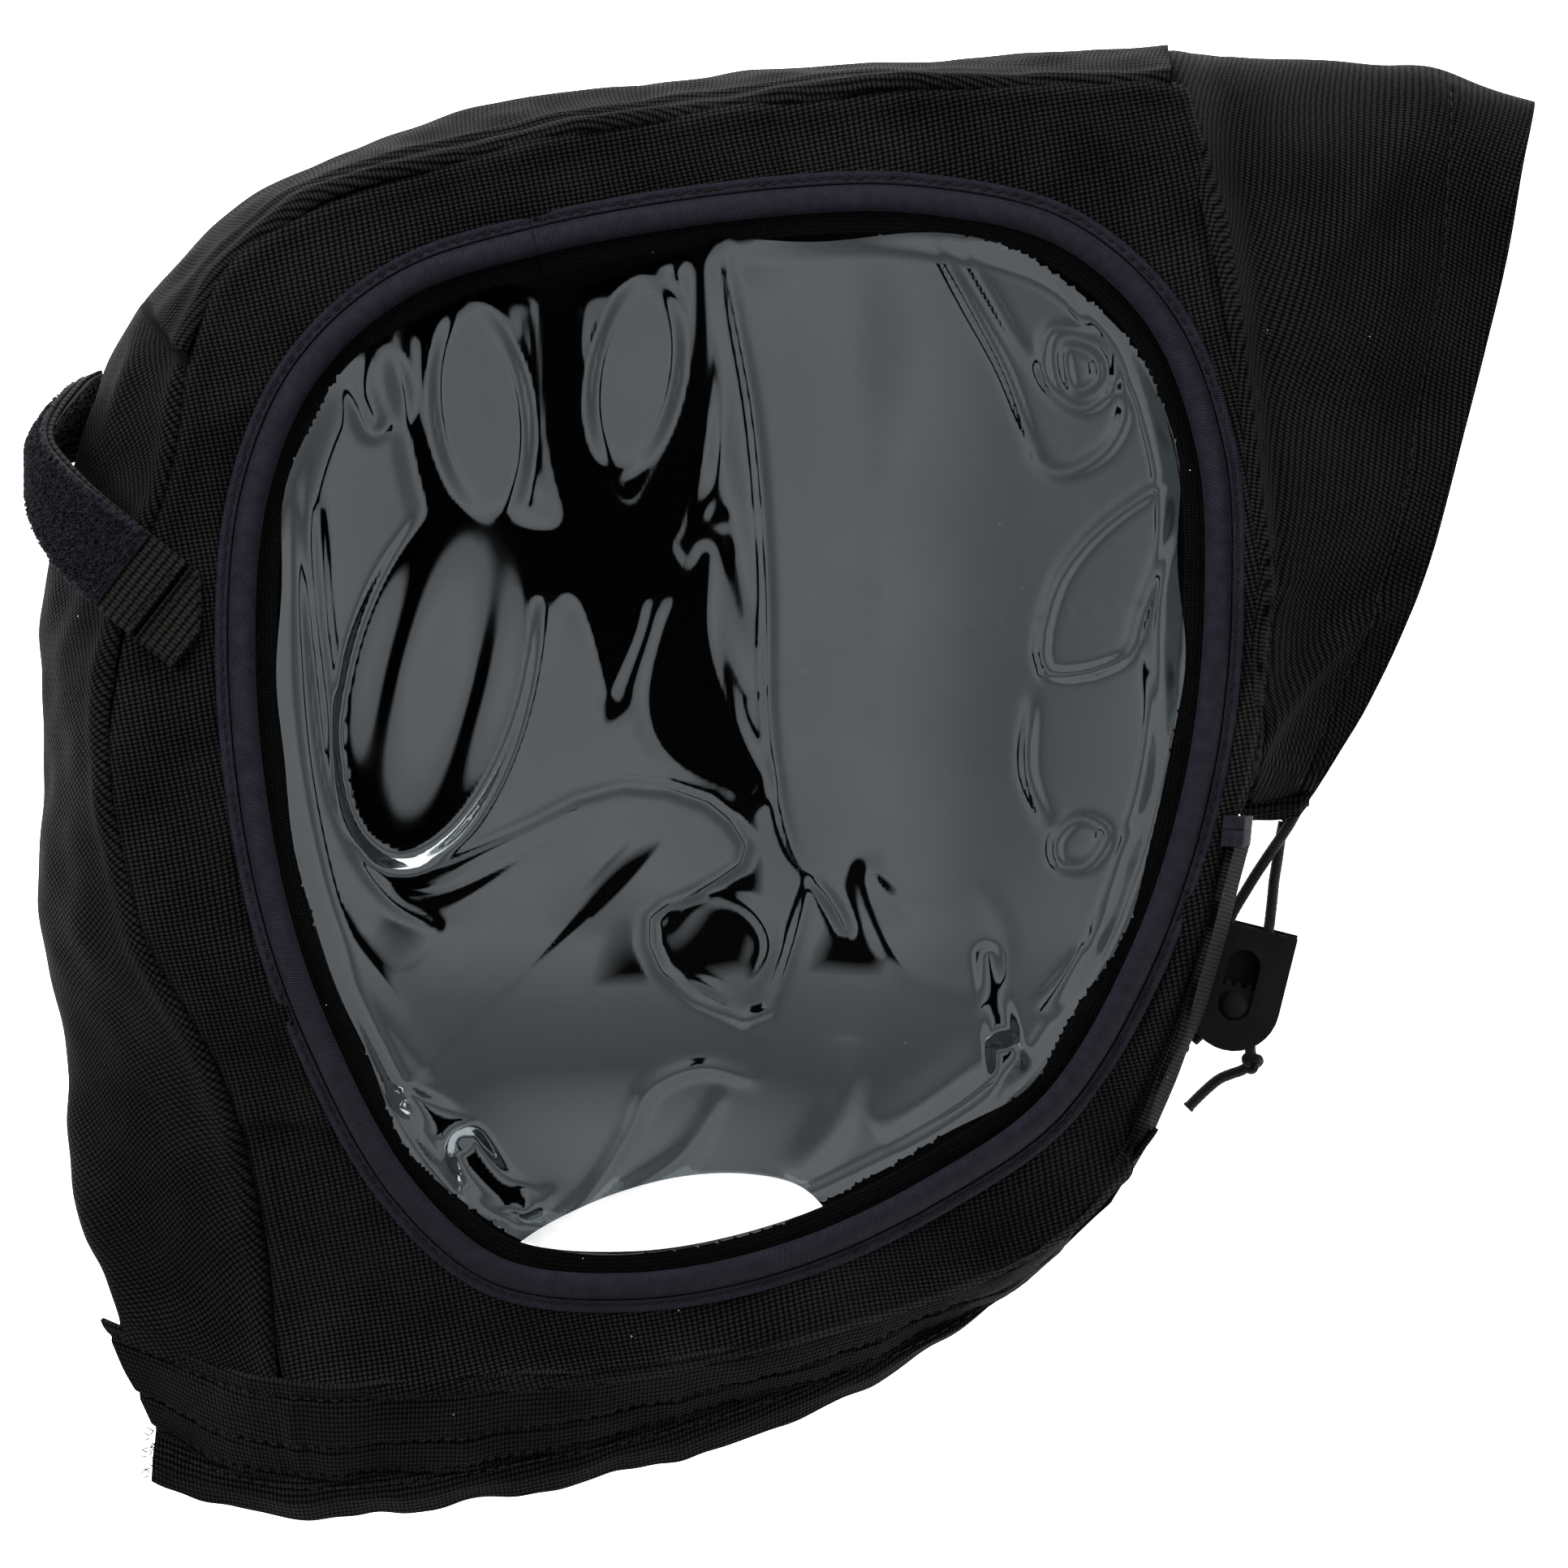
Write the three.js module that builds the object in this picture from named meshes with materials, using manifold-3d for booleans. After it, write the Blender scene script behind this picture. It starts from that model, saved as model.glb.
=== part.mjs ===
// Soft hood lying on its back: black woven shell with a sewn clear window, a cinchable side
// sleeve with a drawcord and a cord lock, a hook-and-loop strap and an open neck edge.
// Millimetres, +Z up. X runs towards the sleeve, Y towards the crown, Z towards the window.
import * as THREE from 'three';
import { mergeVertices } from 'three/addons/utils/BufferGeometryUtils.js';
import Module from 'manifold-3d';

const wasm = await Module();
wasm.setup();

// ---- driving dimensions -------------------------------------------------------------------
const GAP = 0.35;              // clearance kept between neighbouring pieces
const CLOTH = 1.2;             // woven shell with its inner coating
const FACING = 0.8;            // single layer of casing or facing cloth
const PANE = 0.5;              // clear vinyl window sheet
const CROWN_HEIGHT = 50;       // front panel above the ground at the crown
const SLEEVE_DROP = 9;         // fall of the front panel towards the sleeve
const HEM_DROP = 27;           // fall of the front panel towards the neck hem
const WIDEST_HEIGHT = 16;      // height at which the gusset bulges furthest out
const SEAM_INSET = 2;          // front panel edge inside the gusset seam
const LEDGE = 1.6;             // height of every edge that lies on the back layer

const FLANGE = 2.7;            // flat sewn edge of the window binding
const ROLL_IN = 8.9;           // inner edge of the rounded window binding
const ROLL_HEIGHT = 3.4;       // crown of the rounded window binding

const MOUTH_HEIGHT = 18;       // top of the sleeve at its open end
const CASING_START = 0.77;     // casing begins at this share of the sleeve's length
const CASING_CHANNEL = 3.6;    // room between sleeve cloth and casing facing

const CORD = 2.4;              // drawcord diameter
const CORD_SIDES = 8;
const KNOT = 4.4;              // knot diameter

const STRAP_WIDTH = 20;
const WEBBING = 1.2;
const PILE = 1.1;              // loop tape with its pile
const HOOK = 0.8;              // hook tape
const STRAP_SKEW = 38;         // degrees between the strap's run and the hood's X direction
const STRAP_LENGTH = 80;       // free strap, from the stitch line to its end

const LOCK_X = 99;             // centre of the cord lock's round end
const LOCK_Y = -48.2;
const LOCK_TILT = 14;          // degrees, the lock's upper end leans to +X
const LOCK_RADIUS = 10.1;
const LOCK_REACH = 17.5;       // from the round end's centre to the cord entry
const LOCK_SPLIT = 4.9;        // height of the joint between rear and front shells
const LOCK_TOP = 8.4;
const CHANNEL_HALF = 7.3;      // half width of the cord channel
const SLOT_WIDTH = 7.3;
const SLOT_LENGTH = 15.9;
const SLOT_START = -3.35;      // lower end of the slot along the lock's axis
const BUTTON_RADIUS = 3.1;
const TEETH = 5;

// ---- small helpers ------------------------------------------------------------------------
const degrees = THREE.MathUtils.degToRad;
const mix = THREE.MathUtils.lerp;
const ease = (t) => THREE.MathUtils.smoothstep(t, 0, 1);
const point = (x, y, z = 0) => new THREE.Vector3(x, y, z);
const hood = new THREE.Group();

// Height of the front face above the ground.
function faceHeight(x, y) {
  return CROWN_HEIGHT - SLEEVE_DROP * ease((x - 20) / 85) - HEM_DROP * ease((-30 - y) / 100);
}

function curve(points, closed = false) {
  const spots = points.map(([x, y, z = 0]) => point(x, y, z));
  return new THREE.CatmullRomCurve3(spots, closed, 'centripetal');
}

// Moves a flat outline sideways; positive distances go to the left of its direction.
function inset(path, t, distance) {
  const side = path.getTangent(t);
  const place = path.getPoint(t);
  const size = Math.hypot(side.x, side.y);
  return point(place.x - (side.y / size) * distance, place.y + (side.x / size) * distance, place.z);
}

function normals(grid, closed) {
  const count = grid.length;
  return grid.map((row, i) => row.map((spot, j) => {
    const before = closed ? grid[(i + count - 1) % count] : grid[Math.max(i - 1, 0)];
    const after = closed ? grid[(i + 1) % count] : grid[Math.min(i + 1, count - 1)];
    const along = after[j].clone().sub(before[j]);
    const across = row[Math.min(j + 1, row.length - 1)].clone().sub(row[Math.max(j - 1, 0)]);
    return along.cross(across).normalize();
  }));
}

function solidFrom(vertices, faces) {
  const geometry = new THREE.BufferGeometry();
  geometry.setAttribute('position', new THREE.Float32BufferAttribute(vertices.flatMap((v) => v.toArray()), 3));
  geometry.setIndex(faces);
  const flat = geometry.toNonIndexed();
  return signedVolume(flat) < 0 ? flipped(flat) : flat;
}

function signedVolume(geometry) {
  const place = geometry.attributes.position;
  const corner = [point(0, 0), point(0, 0), point(0, 0)];
  let total = 0;
  for (let i = 0; i < place.count; i += 3) {
    corner.forEach((c, k) => c.fromBufferAttribute(place, i + k));
    total += corner[0].dot(corner[1].clone().cross(corner[2]));
  }
  return total;
}

function flipped(geometry) {
  const place = geometry.attributes.position;
  for (let i = 0; i < place.count; i += 3) {
    const second = point(0, 0).fromBufferAttribute(place, i + 1);
    const third = point(0, 0).fromBufferAttribute(place, i + 2);
    place.setXYZ(i + 1, ...third.toArray());
    place.setXYZ(i + 2, ...second.toArray());
  }
  return geometry;
}

// A sheet with thickness over a grid of points. Rows follow the seam, columns cross it.
// lift raises the outer face along the surface normal; side picks which way is outward.
function sheet(grid, thickness, { lift = 0, side = 1, closed = false, upright = false } = {}) {
  const facing = upright ? null : normals(grid, closed);
  const rows = grid.length;
  const columns = grid[0].length;
  const vertices = [];
  for (const depth of [lift, lift - thickness]) {
    grid.forEach((row, i) => row.forEach((spot, j) => {
      const push = upright ? point(0, 0, 1) : facing[i][j].clone().multiplyScalar(side);
      vertices.push(spot.clone().addScaledVector(push, depth));
    }));
  }
  const outer = (i, j) => (i % rows) * columns + j;
  const inner = (i, j) => rows * columns + outer(i, j);
  const faces = [];
  const quad = (a, b, c, d) => faces.push(a, b, c, a, c, d);
  const spans = closed ? rows : rows - 1;
  for (let i = 0; i < spans; i += 1) {
    for (let j = 0; j < columns - 1; j += 1) {
      quad(outer(i, j), outer(i + 1, j), outer(i + 1, j + 1), outer(i, j + 1));
      quad(inner(i, j), inner(i, j + 1), inner(i + 1, j + 1), inner(i + 1, j));
    }
    quad(outer(i + 1, 0), outer(i, 0), inner(i, 0), inner(i + 1, 0));
    quad(outer(i, columns - 1), outer(i + 1, columns - 1), inner(i + 1, columns - 1), inner(i, columns - 1));
  }
  if (!closed) {
    for (let j = 0; j < columns - 1; j += 1) {
      quad(outer(0, j), outer(0, j + 1), inner(0, j + 1), inner(0, j));
      quad(outer(rows - 1, j + 1), outer(rows - 1, j), inner(rows - 1, j), inner(rows - 1, j + 1));
    }
  }
  return solidFrom(vertices, faces);
}

// A closed ring whose cross-section is the polygon section(t) at each place around it.
function ring(steps, section) {
  const vertices = [];
  const faces = [];
  for (let i = 0; i < steps; i += 1) vertices.push(...section(i / steps));
  const sides = vertices.length / steps;
  for (let i = 0; i < steps; i += 1) {
    for (let j = 0; j < sides; j += 1) {
      const a = i * sides + j;
      const b = i * sides + ((j + 1) % sides);
      const c = ((i + 1) % steps) * sides + ((j + 1) % sides);
      const d = ((i + 1) % steps) * sides + j;
      faces.push(a, b, c, a, c, d);
    }
  }
  return solidFrom(vertices, faces);
}

function plate(outline, low, high) {
  const shape = new THREE.Shape(outline.map((spot) => new THREE.Vector2(spot.x, spot.y)));
  const geometry = new THREE.ExtrudeGeometry(shape, { depth: high - low, bevelEnabled: false });
  return geometry.translate(0, 0, low);
}

function cordTube(points, steps) {
  const round = new THREE.Shape();
  for (let i = 0; i < CORD_SIDES; i += 1) {
    const angle = (2 * Math.PI * i) / CORD_SIDES;
    const spot = [(CORD / 2) * Math.cos(angle), (CORD / 2) * Math.sin(angle)];
    if (i === 0) round.moveTo(...spot);
    else round.lineTo(...spot);
  }
  round.closePath();
  return new THREE.ExtrudeGeometry(round, { steps, extrudePath: curve(points) });
}

function toManifold(geometry) {
  const bare = geometry.clone();
  bare.deleteAttribute('normal');
  bare.deleteAttribute('uv');
  const merged = mergeVertices(bare, 1e-4);
  const vertProperties = new Float32Array(merged.attributes.position.array);
  const triVerts = new Uint32Array(merged.index.array);
  return new wasm.Manifold(new wasm.Mesh({ numProp: 3, vertProperties, triVerts }));
}

function cut(base, ...tools) {
  const mesh = tools.reduce((solid, tool) => solid.subtract(toManifold(tool)), toManifold(base)).getMesh();
  const geometry = new THREE.BufferGeometry();
  geometry.setAttribute('position', new THREE.BufferAttribute(new Float32Array(mesh.vertProperties), 3));
  geometry.setIndex(new THREE.BufferAttribute(new Uint32Array(mesh.triVerts), 1));
  return geometry;
}

// ---- materials ----------------------------------------------------------------------------
const looks = {
  shell_fabric: { color: 0x16161a, roughness: 0.85 },
  binding_tape: { color: 0x1d1c26, roughness: 0.6 },
  clear_vinyl: { color: 0x6b7276, roughness: 0.05, transparent: true, opacity: 0.35 },
  seam_allowance: { color: 0x08080a, roughness: 0.7 },
  webbing: { color: 0x15150f, roughness: 0.8 },
  loop_pile: { color: 0x15151c, roughness: 1.0 },
  hook_tape: { color: 0x101012, roughness: 0.7 },
  cord: { color: 0x121214, roughness: 0.7 },
  lock_plastic: { color: 0x141415, roughness: 0.5 },
};

function add(name, look, geometry, parent = hood) {
  const material = new THREE.MeshStandardMaterial({ metalness: 0, ...looks[look] });
  const mesh = new THREE.Mesh(geometry, material);
  mesh.name = name;
  parent.add(mesh);
  return mesh;
}

// ---- outlines of the shell ----------------------------------------------------------------
// Left-hand gusset, from the crown's sleeve end round the cheek to the neck hem.
const widestLeft = curve([
  [84, 161], [14, 158], [-47, 151], [-88, 142], [-116, 129], [-134, 112], [-148, 92],
  [-156, 69], [-162, 35], [-163, 5], [-162, -30], [-158, -62], [-154, -92], [-147.5, -117],
]);
const seamLeft = curve([
  [84, 154], [20, 151], [-40, 143.5], [-78, 134], [-106, 124], [-122, 112], [-129, 95],
  [-133, 70], [-143, 37], [-147, 8], [-140, -30], [-122, -65], [-114, -95], [-111, -129],
]);
const floorLeft = curve([
  [84, 152], [14, 149], [-44, 142], [-83, 133], [-108, 120], [-124, 104], [-136, 87],
  [-144, 66], [-151, 34], [-153, 5], [-152, -29], [-148, -60], [-144, -90], [-138, -115],
]);

// Right-hand gusset, below the sleeve.
const widestRight = curve([[101, -11], [98, -22], [95, -34], [89, -53], [83, -67], [79, -77]]);
const seamRight = curve([[97, -11], [94, -22], [91, -34], [85, -53], [79, -66], [75, -76]]);
const floorRight = curve([[92, -12], [87, -24], [82, -36], [76, -53], [72, -64], [68, -75]]);

// Front panel edges that are not gusset seams.
const hemTop = curve([
  [-111, -130], [-85, -131], [-60, -129.5], [-25, -125.5], [14, -115.5], [40, -106.5], [60, -96],
  [76, -80],
]);
const sleeveSeam = curve([[98, -3], [102, 21], [104, 48], [103, 61], [98, 100], [91, 132], [84, 154]]);

// Outer edge of the window binding, clockwise seen from the front.
const windowEdge = curve([
  [-55, 123.5], [-2, 132], [30, 132.5], [63, 125], [86, 105], [98, 75], [100, 40], [96, 2], [84, -37],
  [63, -73], [37, -92], [3, -108], [-33, -115], [-65, -111], [-87, -92], [-105, -59], [-117, -23],
  [-123, 25], [-120, 65], [-108, 93], [-86, 113],
], true);

// Front edge of the back panel where the wearer's neck comes out.
const neckArch = curve([
  [-84, -153], [-76, -124], [-61, -103], [-45, -93], [-25, -86.5], [-8, -85.5], [4, -88.5],
  [10.5, -96], [18, -126],
]);

// ---- shell ---------------------------------------------------------------------------------
function gusset([floorSeam, widest, frontSeam], from, to, steps, side) {
  const grid = [];
  for (let i = 0; i <= steps; i += 1) {
    const t = mix(from, to, i / steps);
    const low = floorSeam.getPoint(t);
    const wide = widest.getPoint(t);
    const high = frontSeam.getPoint(t);
    const top = faceHeight(high.x, high.y);
    const middle = Math.min(WIDEST_HEIGHT, top * 0.55);
    const under = low.clone().lerp(wide, 0.62).setZ(mix(LEDGE, middle, 0.36));
    const shoulder = wide.clone().lerp(high, 0.4).setZ(mix(middle, top, 0.62));
    grid.push([low.setZ(LEDGE), under, wide.setZ(middle), shoulder, high.setZ(top)]);
  }
  return sheet(grid, CLOTH, { side });
}

function backPanel() {
  const outline = [
    ...floorLeft.getPoints(30),
    ...curve([[-132, -142], [-120, -152], [-100, -154.5]]).getPoints(5),
    ...neckArch.getPoints(24),
    ...curve([[40, -112], [58, -95]]).getPoints(1),
    ...floorRight.getPoints(6).reverse(),
    ...curve([[96, 0], [101, 30], [102.5, 55], [97.5, 100], [90.5, 132]]).getPoints(8),
  ];
  return plate(outline, 0, CLOTH);
}

function neckHem() {
  const grid = [];
  for (let i = 0; i <= 20; i += 1) {
    const t = mix(0.1, 0.9, i / 20);
    const edges = [inset(neckArch, t, 0.4), inset(neckArch, t, 3.6)];
    grid.push(edges.map((spot) => spot.setZ(CLOTH + GAP + FACING)));
  }
  return sheet(grid, FACING, { upright: true });
}

// The front panel is one ring of cloth: its outer edge meets the gussets, hem and sleeve, its
// inner edge lies under the window binding.
function frontPanel() {
  const outer = [
    ...Array.from({ length: 29 }, (_, i) => inset(seamLeft, mix(0.004, 0.985, i / 28), SEAM_INSET)),
    ...Array.from({ length: 17 }, (_, i) => inset(hemTop, mix(0.02, 0.98, i / 16), 0.4)),
    ...Array.from({ length: 8 }, (_, i) => inset(seamRight, mix(0.94, 0, i / 7), -SEAM_INSET)),
    ...Array.from({ length: 15 }, (_, i) => inset(sleeveSeam, mix(0.02, 0.975, i / 14), 1.4)),
  ];
  const steps = 76;
  const loop = new THREE.CatmullRomCurve3(outer, true, 'centripetal', 0);
  const middle = point(-10, 15);
  const grid = [];
  for (let i = 0; i < steps; i += 1) {
    const edge = loop.getPointAt(i / steps);
    const hole = inset(windowEdge, nearestWindow(edge, middle), -4);
    const bend = edge.clone().lerp(hole, 0.5);
    grid.push([edge, bend, hole].map((spot) => spot.clone().setZ(faceHeight(spot.x, spot.y))));
  }
  return sheet(grid, CLOTH, { closed: true, upright: true });
}

// Place on the window's edge that lies in the same direction from its middle as a given spot.
function nearestWindow(spot, middle) {
  const target = Math.atan2(spot.y - middle.y, spot.x - middle.x);
  let best = 0;
  let error = Infinity;
  for (let i = 0; i < 720; i += 1) {
    const place = windowEdge.getPoint(i / 720);
    const angle = Math.atan2(place.y - middle.y, place.x - middle.x);
    const off = Math.abs(Math.atan2(Math.sin(angle - target), Math.cos(angle - target)));
    if (off < error) [best, error] = [i / 720, off];
  }
  return best;
}

// ---- window --------------------------------------------------------------------------------
// A strip that follows the window's edge; profile lists [distance inwards, height above face].
function windowRing(profile, steps) {
  return ring(steps, (t) => profile.map(([inward, rise]) => {
    const spot = inset(windowEdge, t, -inward);
    return spot.setZ(faceHeight(spot.x, spot.y) + rise);
  }));
}

function windowRoll() {
  const profile = [];
  const half = (ROLL_IN - FLANGE - GAP) / 2;
  const centre = ROLL_IN - half;
  for (let i = 0; i <= 5; i += 1) {
    const angle = (Math.PI * i) / 5;
    profile.push([centre - half * Math.cos(angle), GAP + (ROLL_HEIGHT - GAP) * Math.sin(angle)]);
  }
  return windowRing(profile, 60);
}

function windowPane() {
  const steps = 48;
  const middle = point(-10, 10);
  const vertices = [];
  const faces = [];
  const bands = 5;
  for (const depth of [0, -PANE]) {
    for (let band = 0; band < bands; band += 1) {
      for (let i = 0; i < steps; i += 1) {
        const spot = inset(windowEdge, i / steps, -4.4).lerp(middle, band / bands);
        vertices.push(spot.setZ(faceHeight(spot.x, spot.y) + depth));
      }
    }
    vertices.push(point(middle.x, middle.y, faceHeight(middle.x, middle.y) + depth));
  }
  const layer = bands * steps + 1;
  for (let i = 0; i < steps; i += 1) {
    const next = (i + 1) % steps;
    for (let band = 0; band < bands - 1; band += 1) {
      const [a, b] = [band * steps + i, band * steps + next];
      const [c, d] = [b + steps, a + steps];
      faces.push(a, c, b, a, d, c);
      faces.push(layer + a, layer + b, layer + c, layer + a, layer + c, layer + d);
    }
    const [a, b] = [(bands - 1) * steps + i, (bands - 1) * steps + next];
    faces.push(a, layer - 1, b, layer + a, layer + b, 2 * layer - 1);
    faces.push(i, next, layer + next, i, layer + next, layer + i);
  }
  return solidFrom(vertices, faces);
}

// ---- neck hem on the front -----------------------------------------------------------------
const hemUpper = curve([
  [-146.5, -119.5, 9.5], [-129, -127, 17], [-111, -131.5, 22], [-85, -132, 22], [-60, -130.5, 22],
  [-25, -126.5, 22], [14, -116.5, 21.5], [40, -107.5, 22], [60, -97.5, 24], [77, -81, 26],
]);
const hemLower = curve([
  [-138.5, -143, 4.5], [-124, -149, 7], [-108, -152.5, 9], [-85, -151.5, 9], [-60, -147.5, 9],
  [-25, -140, 8.5], [10, -129, 8], [33, -120, 7], [51, -109, 7], [71, -91, 7.5],
]);
const hemFoot = curve([
  [-139.5, -153, 3], [-124, -158.5, 3], [-108, -160.8, 3], [-85, -160.3, 3], [-60, -156.5, 3],
  [-25, -149, 3], [9, -137, 3], [31, -125, 3], [49, -112, 3], [69, -94, 3],
]);

function hemStrip(upper, lower, from, to, thickness) {
  const grid = [];
  for (let i = 0; i <= 27; i += 1) {
    const high = upper.getPoint(i / 27);
    const low = lower.getPoint(i / 27);
    grid.push([from, (from + to) / 2, to].map((share) => {
      const spot = high.clone().lerp(low, share);
      return spot.setZ(spot.z + 1.2 * Math.sin(Math.PI * share));
    }));
  }
  return sheet(grid, thickness, { side: -1 });
}

// ---- sleeve --------------------------------------------------------------------------------
const sleeveRoot = curve([
  [84.5, 159.5], [91.5, 132], [98.5, 100], [103.5, 61], [104.5, 48], [102.5, 21], [100, -4.5],
]);
const sleeveMouth = curve([
  [165.5, 151], [162, 136], [158.5, 116], [149, 77], [140, 45], [128, 18], [121.5, 7], [115.5, -3.5],
]);

function sleeveSpot(u, v, drop = 0) {
  const spot = sleeveRoot.getPoint(v).lerp(sleeveMouth.getPoint(v), u);
  const crest = mix(MOUTH_HEIGHT, CROWN_HEIGHT - SLEEVE_DROP - 1, (1 - u) ** 1.3);
  const dome = (1 - Math.abs(2 * v - 1) ** 5) ** 0.45;
  const bow = 4 * Math.sin(Math.PI * u) * (1 - v) ** 3;
  return point(spot.x, spot.y + bow, mix(LEDGE, crest, dome) - drop);
}

const spread = (w) => 0.5 - 0.5 * Math.cos(Math.PI * w);

function sleeveFront() {
  const grid = [];
  for (let i = 0; i <= 9; i += 1) {
    grid.push(Array.from({ length: 19 }, (_, j) => sleeveSpot(i / 9, spread(j / 18))));
  }
  return sheet(grid, CLOTH, { side: -1 });
}

function sleeveBack() {
  const rim = (u, v) => sleeveSpot(u, mix(0.012, 0.988, v));
  const outline = [
    ...Array.from({ length: 9 }, (_, i) => rim(0.015, i / 8)),
    ...Array.from({ length: 13 }, (_, i) => rim(1, 1 - i / 12)),
    ...Array.from({ length: 3 }, (_, i) => rim(0.75 - i * 0.25, 0)),
  ];
  return plate(outline, 0, CLOTH);
}

function casingFront() {
  const drop = CLOTH + CASING_CHANNEL;
  const grid = [];
  for (let i = 0; i <= 2; i += 1) {
    const u = mix(CASING_START, 0.99, i / 2);
    grid.push(Array.from({ length: 13 }, (_, j) => sleeveSpot(u, mix(0.17, 0.87, j / 12), drop)));
  }
  return sheet(grid, FACING, { upright: true });
}

function casingBack() {
  const grid = [];
  for (const u of [CASING_START, 0.99]) {
    grid.push(Array.from({ length: 9 }, (_, j) => {
      return sleeveSpot(u, mix(0.17, 0.9, j / 8)).setZ(CLOTH + CASING_CHANNEL + FACING);
    }));
  }
  return sheet(grid, FACING, { upright: true });
}

function sleeveEndHem() {
  const grid = [];
  for (const x of [99.5, 104, 109, 114.5]) {
    const y = mix(-6.2, -5.2, (x - 99.5) / 15);
    grid.push([point(x, y, 9.5), point(x, y - 0.6, 5.5), point(x, y, LEDGE)]);
  }
  return sheet(grid, CLOTH, { side: -1 });
}

function casingCordRun() {
  const run = CORD / 2 + GAP;
  const stops = [0.84, 0.75, 0.6, 0.45, 0.3, 0.16];
  const front = stops.map((v) => sleeveSpot(0.9, v, CLOTH + run));
  const back = stops.map((v) => sleeveSpot(0.9, v).setZ(CLOTH + run + 0.3)).reverse();
  const turn = [[0.11, 12.5], [0.09, 9], [0.11, 5.5]].map(([v, z]) => sleeveSpot(0.9, v).setZ(z));
  return cordTube([...front, ...turn, ...back].map((spot) => spot.toArray()), 44);
}

// ---- small tab below the sleeve ------------------------------------------------------------
function sideTab() {
  const grid = [];
  for (const y of [-6.4, -9.5, -13]) {
    const x = 98.5 + y * 0.1;
    grid.push([point(x - 2.6, y, 43.2), point(x + 2.2, y, 42.4), point(x + 4.2, y, 35)]);
  }
  return sheet(grid, CLOTH, { side: -1 });
}

// ---- strap ---------------------------------------------------------------------------------
// The strap wraps round the hood's cheek: strapSide is its path seen from the neck end, and the
// flat strap crosses it at STRAP_SKEW.
const strapSide = curve([
  [-126, 51.9], [-141, 51.7], [-152, 47.5], [-160.5, 36.5], [-163.6, 21.5], [-161.5, 9.5], [-156, 3.4],
  [-150, 2.2], [-138, 2.2],
]);
const strapSideLength = strapSide.getLength();
const STITCH_LINE = 9;          // distance along strapSide where the strap leaves its patch
const STRAP_START_Y = 40.5;
const STRAP_ROW = 3.5;          // distance between the rows that every strap layer shares
const STRAP_STRAIGHT = 30;      // free strap that still runs on at the full skew
const STRAP_BEND = 0.0072;      // radians by which the skew falls for each mm after that
const STRAP_PULL = 8;           // the bend follows the cheek inwards towards the crown

function strapSpot(along, across) {
  const first = degrees(STRAP_SKEW);
  const straight = Math.min(along, STRAP_STRAIGHT);
  const skew = first - STRAP_BEND * Math.max(along - STRAP_STRAIGHT, 0);
  const bentForward = (Math.sin(first) - Math.sin(skew)) / STRAP_BEND;
  const bentSideways = (Math.cos(skew) - Math.cos(first)) / STRAP_BEND;
  const forward = STITCH_LINE + straight * Math.cos(first) + bentForward - across * Math.sin(skew);
  const sideways = STRAP_START_Y + straight * Math.sin(first) + bentSideways + across * Math.cos(skew);
  const place = strapSide.getPointAt(THREE.MathUtils.clamp(forward / strapSideLength, 0, 1));
  const pull = STRAP_PULL * ease((sideways - 73) / 16);
  return point(place.x + pull, sideways, place.y);
}

// Every layer has its rows at the same places, so the layers bend together.
function strapPiece(from, to, half, thickness, lift) {
  const rows = [from];
  for (let along = STRAP_ROW; along < to - 1; along += STRAP_ROW) {
    if (along > from + 1) {
      rows.push(along);
    }
  }
  rows.push(to);
  const grid = rows.map((along) => [-1, -0.5, 0, 0.5, 1].map((side) => strapSpot(along, side * half)));
  return sheet(grid, thickness, { lift, side: -1 });
}

function strapPatch() {
  const grid = [];
  for (const along of [-1.6, -6.5, -11.5]) {
    grid.push([-STRAP_WIDTH / 2, 0, STRAP_WIDTH / 2].map((across) => strapSpot(along, across).setZ(51.8)));
  }
  return sheet(grid, WEBBING, { upright: true, lift: WEBBING / 2 });
}

// ---- drawcord ------------------------------------------------------------------------------
const CORD_LEFT = [
  [111.6, -7.9, 5.2], [110, -10.4, 5], [108.5, -12.6, 4.7], [107, -14.8, 4.3], [105.5, -17.1, 3.9],
  [104, -19.4, 3.5], [101.2, -24, 3.2], [99.7, -26.5, 3.2], [98.4, -29, 3.2], [97.3, -33, 3.2],
  [96.4, -37.2, 3.2], [95.1, -42, 3.2], [93.8, -46.9, 3.2], [92.7, -50.8, 3.2], [91.5, -54.8, 3],
  [90.2, -56.2, 2.7],
];
const CORD_RIGHT = [
  [110.2, -7.8, 1.9], [109.8, -9.9, 1.9], [109.4, -12, 2], [109.1, -14, 2.3], [108.8, -16, 2.6],
  [108.4, -18.5, 2.9], [108, -21, 3.2], [107.5, -26, 3.2], [106.9, -31, 3.2], [106.2, -35.2, 3.2],
  [105.4, -39.5, 3.2], [104.6, -44, 3.2], [103.8, -48.6, 3.2], [102.8, -54.3, 3.1], [102.8, -58.3, 2.8],
];
const CORD_TAIL = [
  [101, -62.6, 1.9], [98.8, -63.4, 1.4], [96, -64.6, 1.3], [92.4, -67.6, 1.3], [89, -71, 1.3],
];

function knot(x, y) {
  const half = KNOT / 2;
  const profile = [];
  for (let i = 0; i <= 8; i += 1) {
    const angle = -Math.PI / 2 + (Math.PI * i) / 8;
    profile.push(new THREE.Vector2(i % 8 ? half * Math.cos(angle) : 0, half * Math.sin(angle)));
  }
  return new THREE.LatheGeometry(profile, 12).rotateX(Math.PI / 2).translate(x, y, half + 0.1);
}

// ---- cord lock -----------------------------------------------------------------------------
// Built along its own axis, +Y towards the cord entry, then turned to its place.
const lockPlace = (geometry) => geometry.rotateZ(-degrees(LOCK_TILT)).translate(LOCK_X, LOCK_Y, 0);

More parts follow.
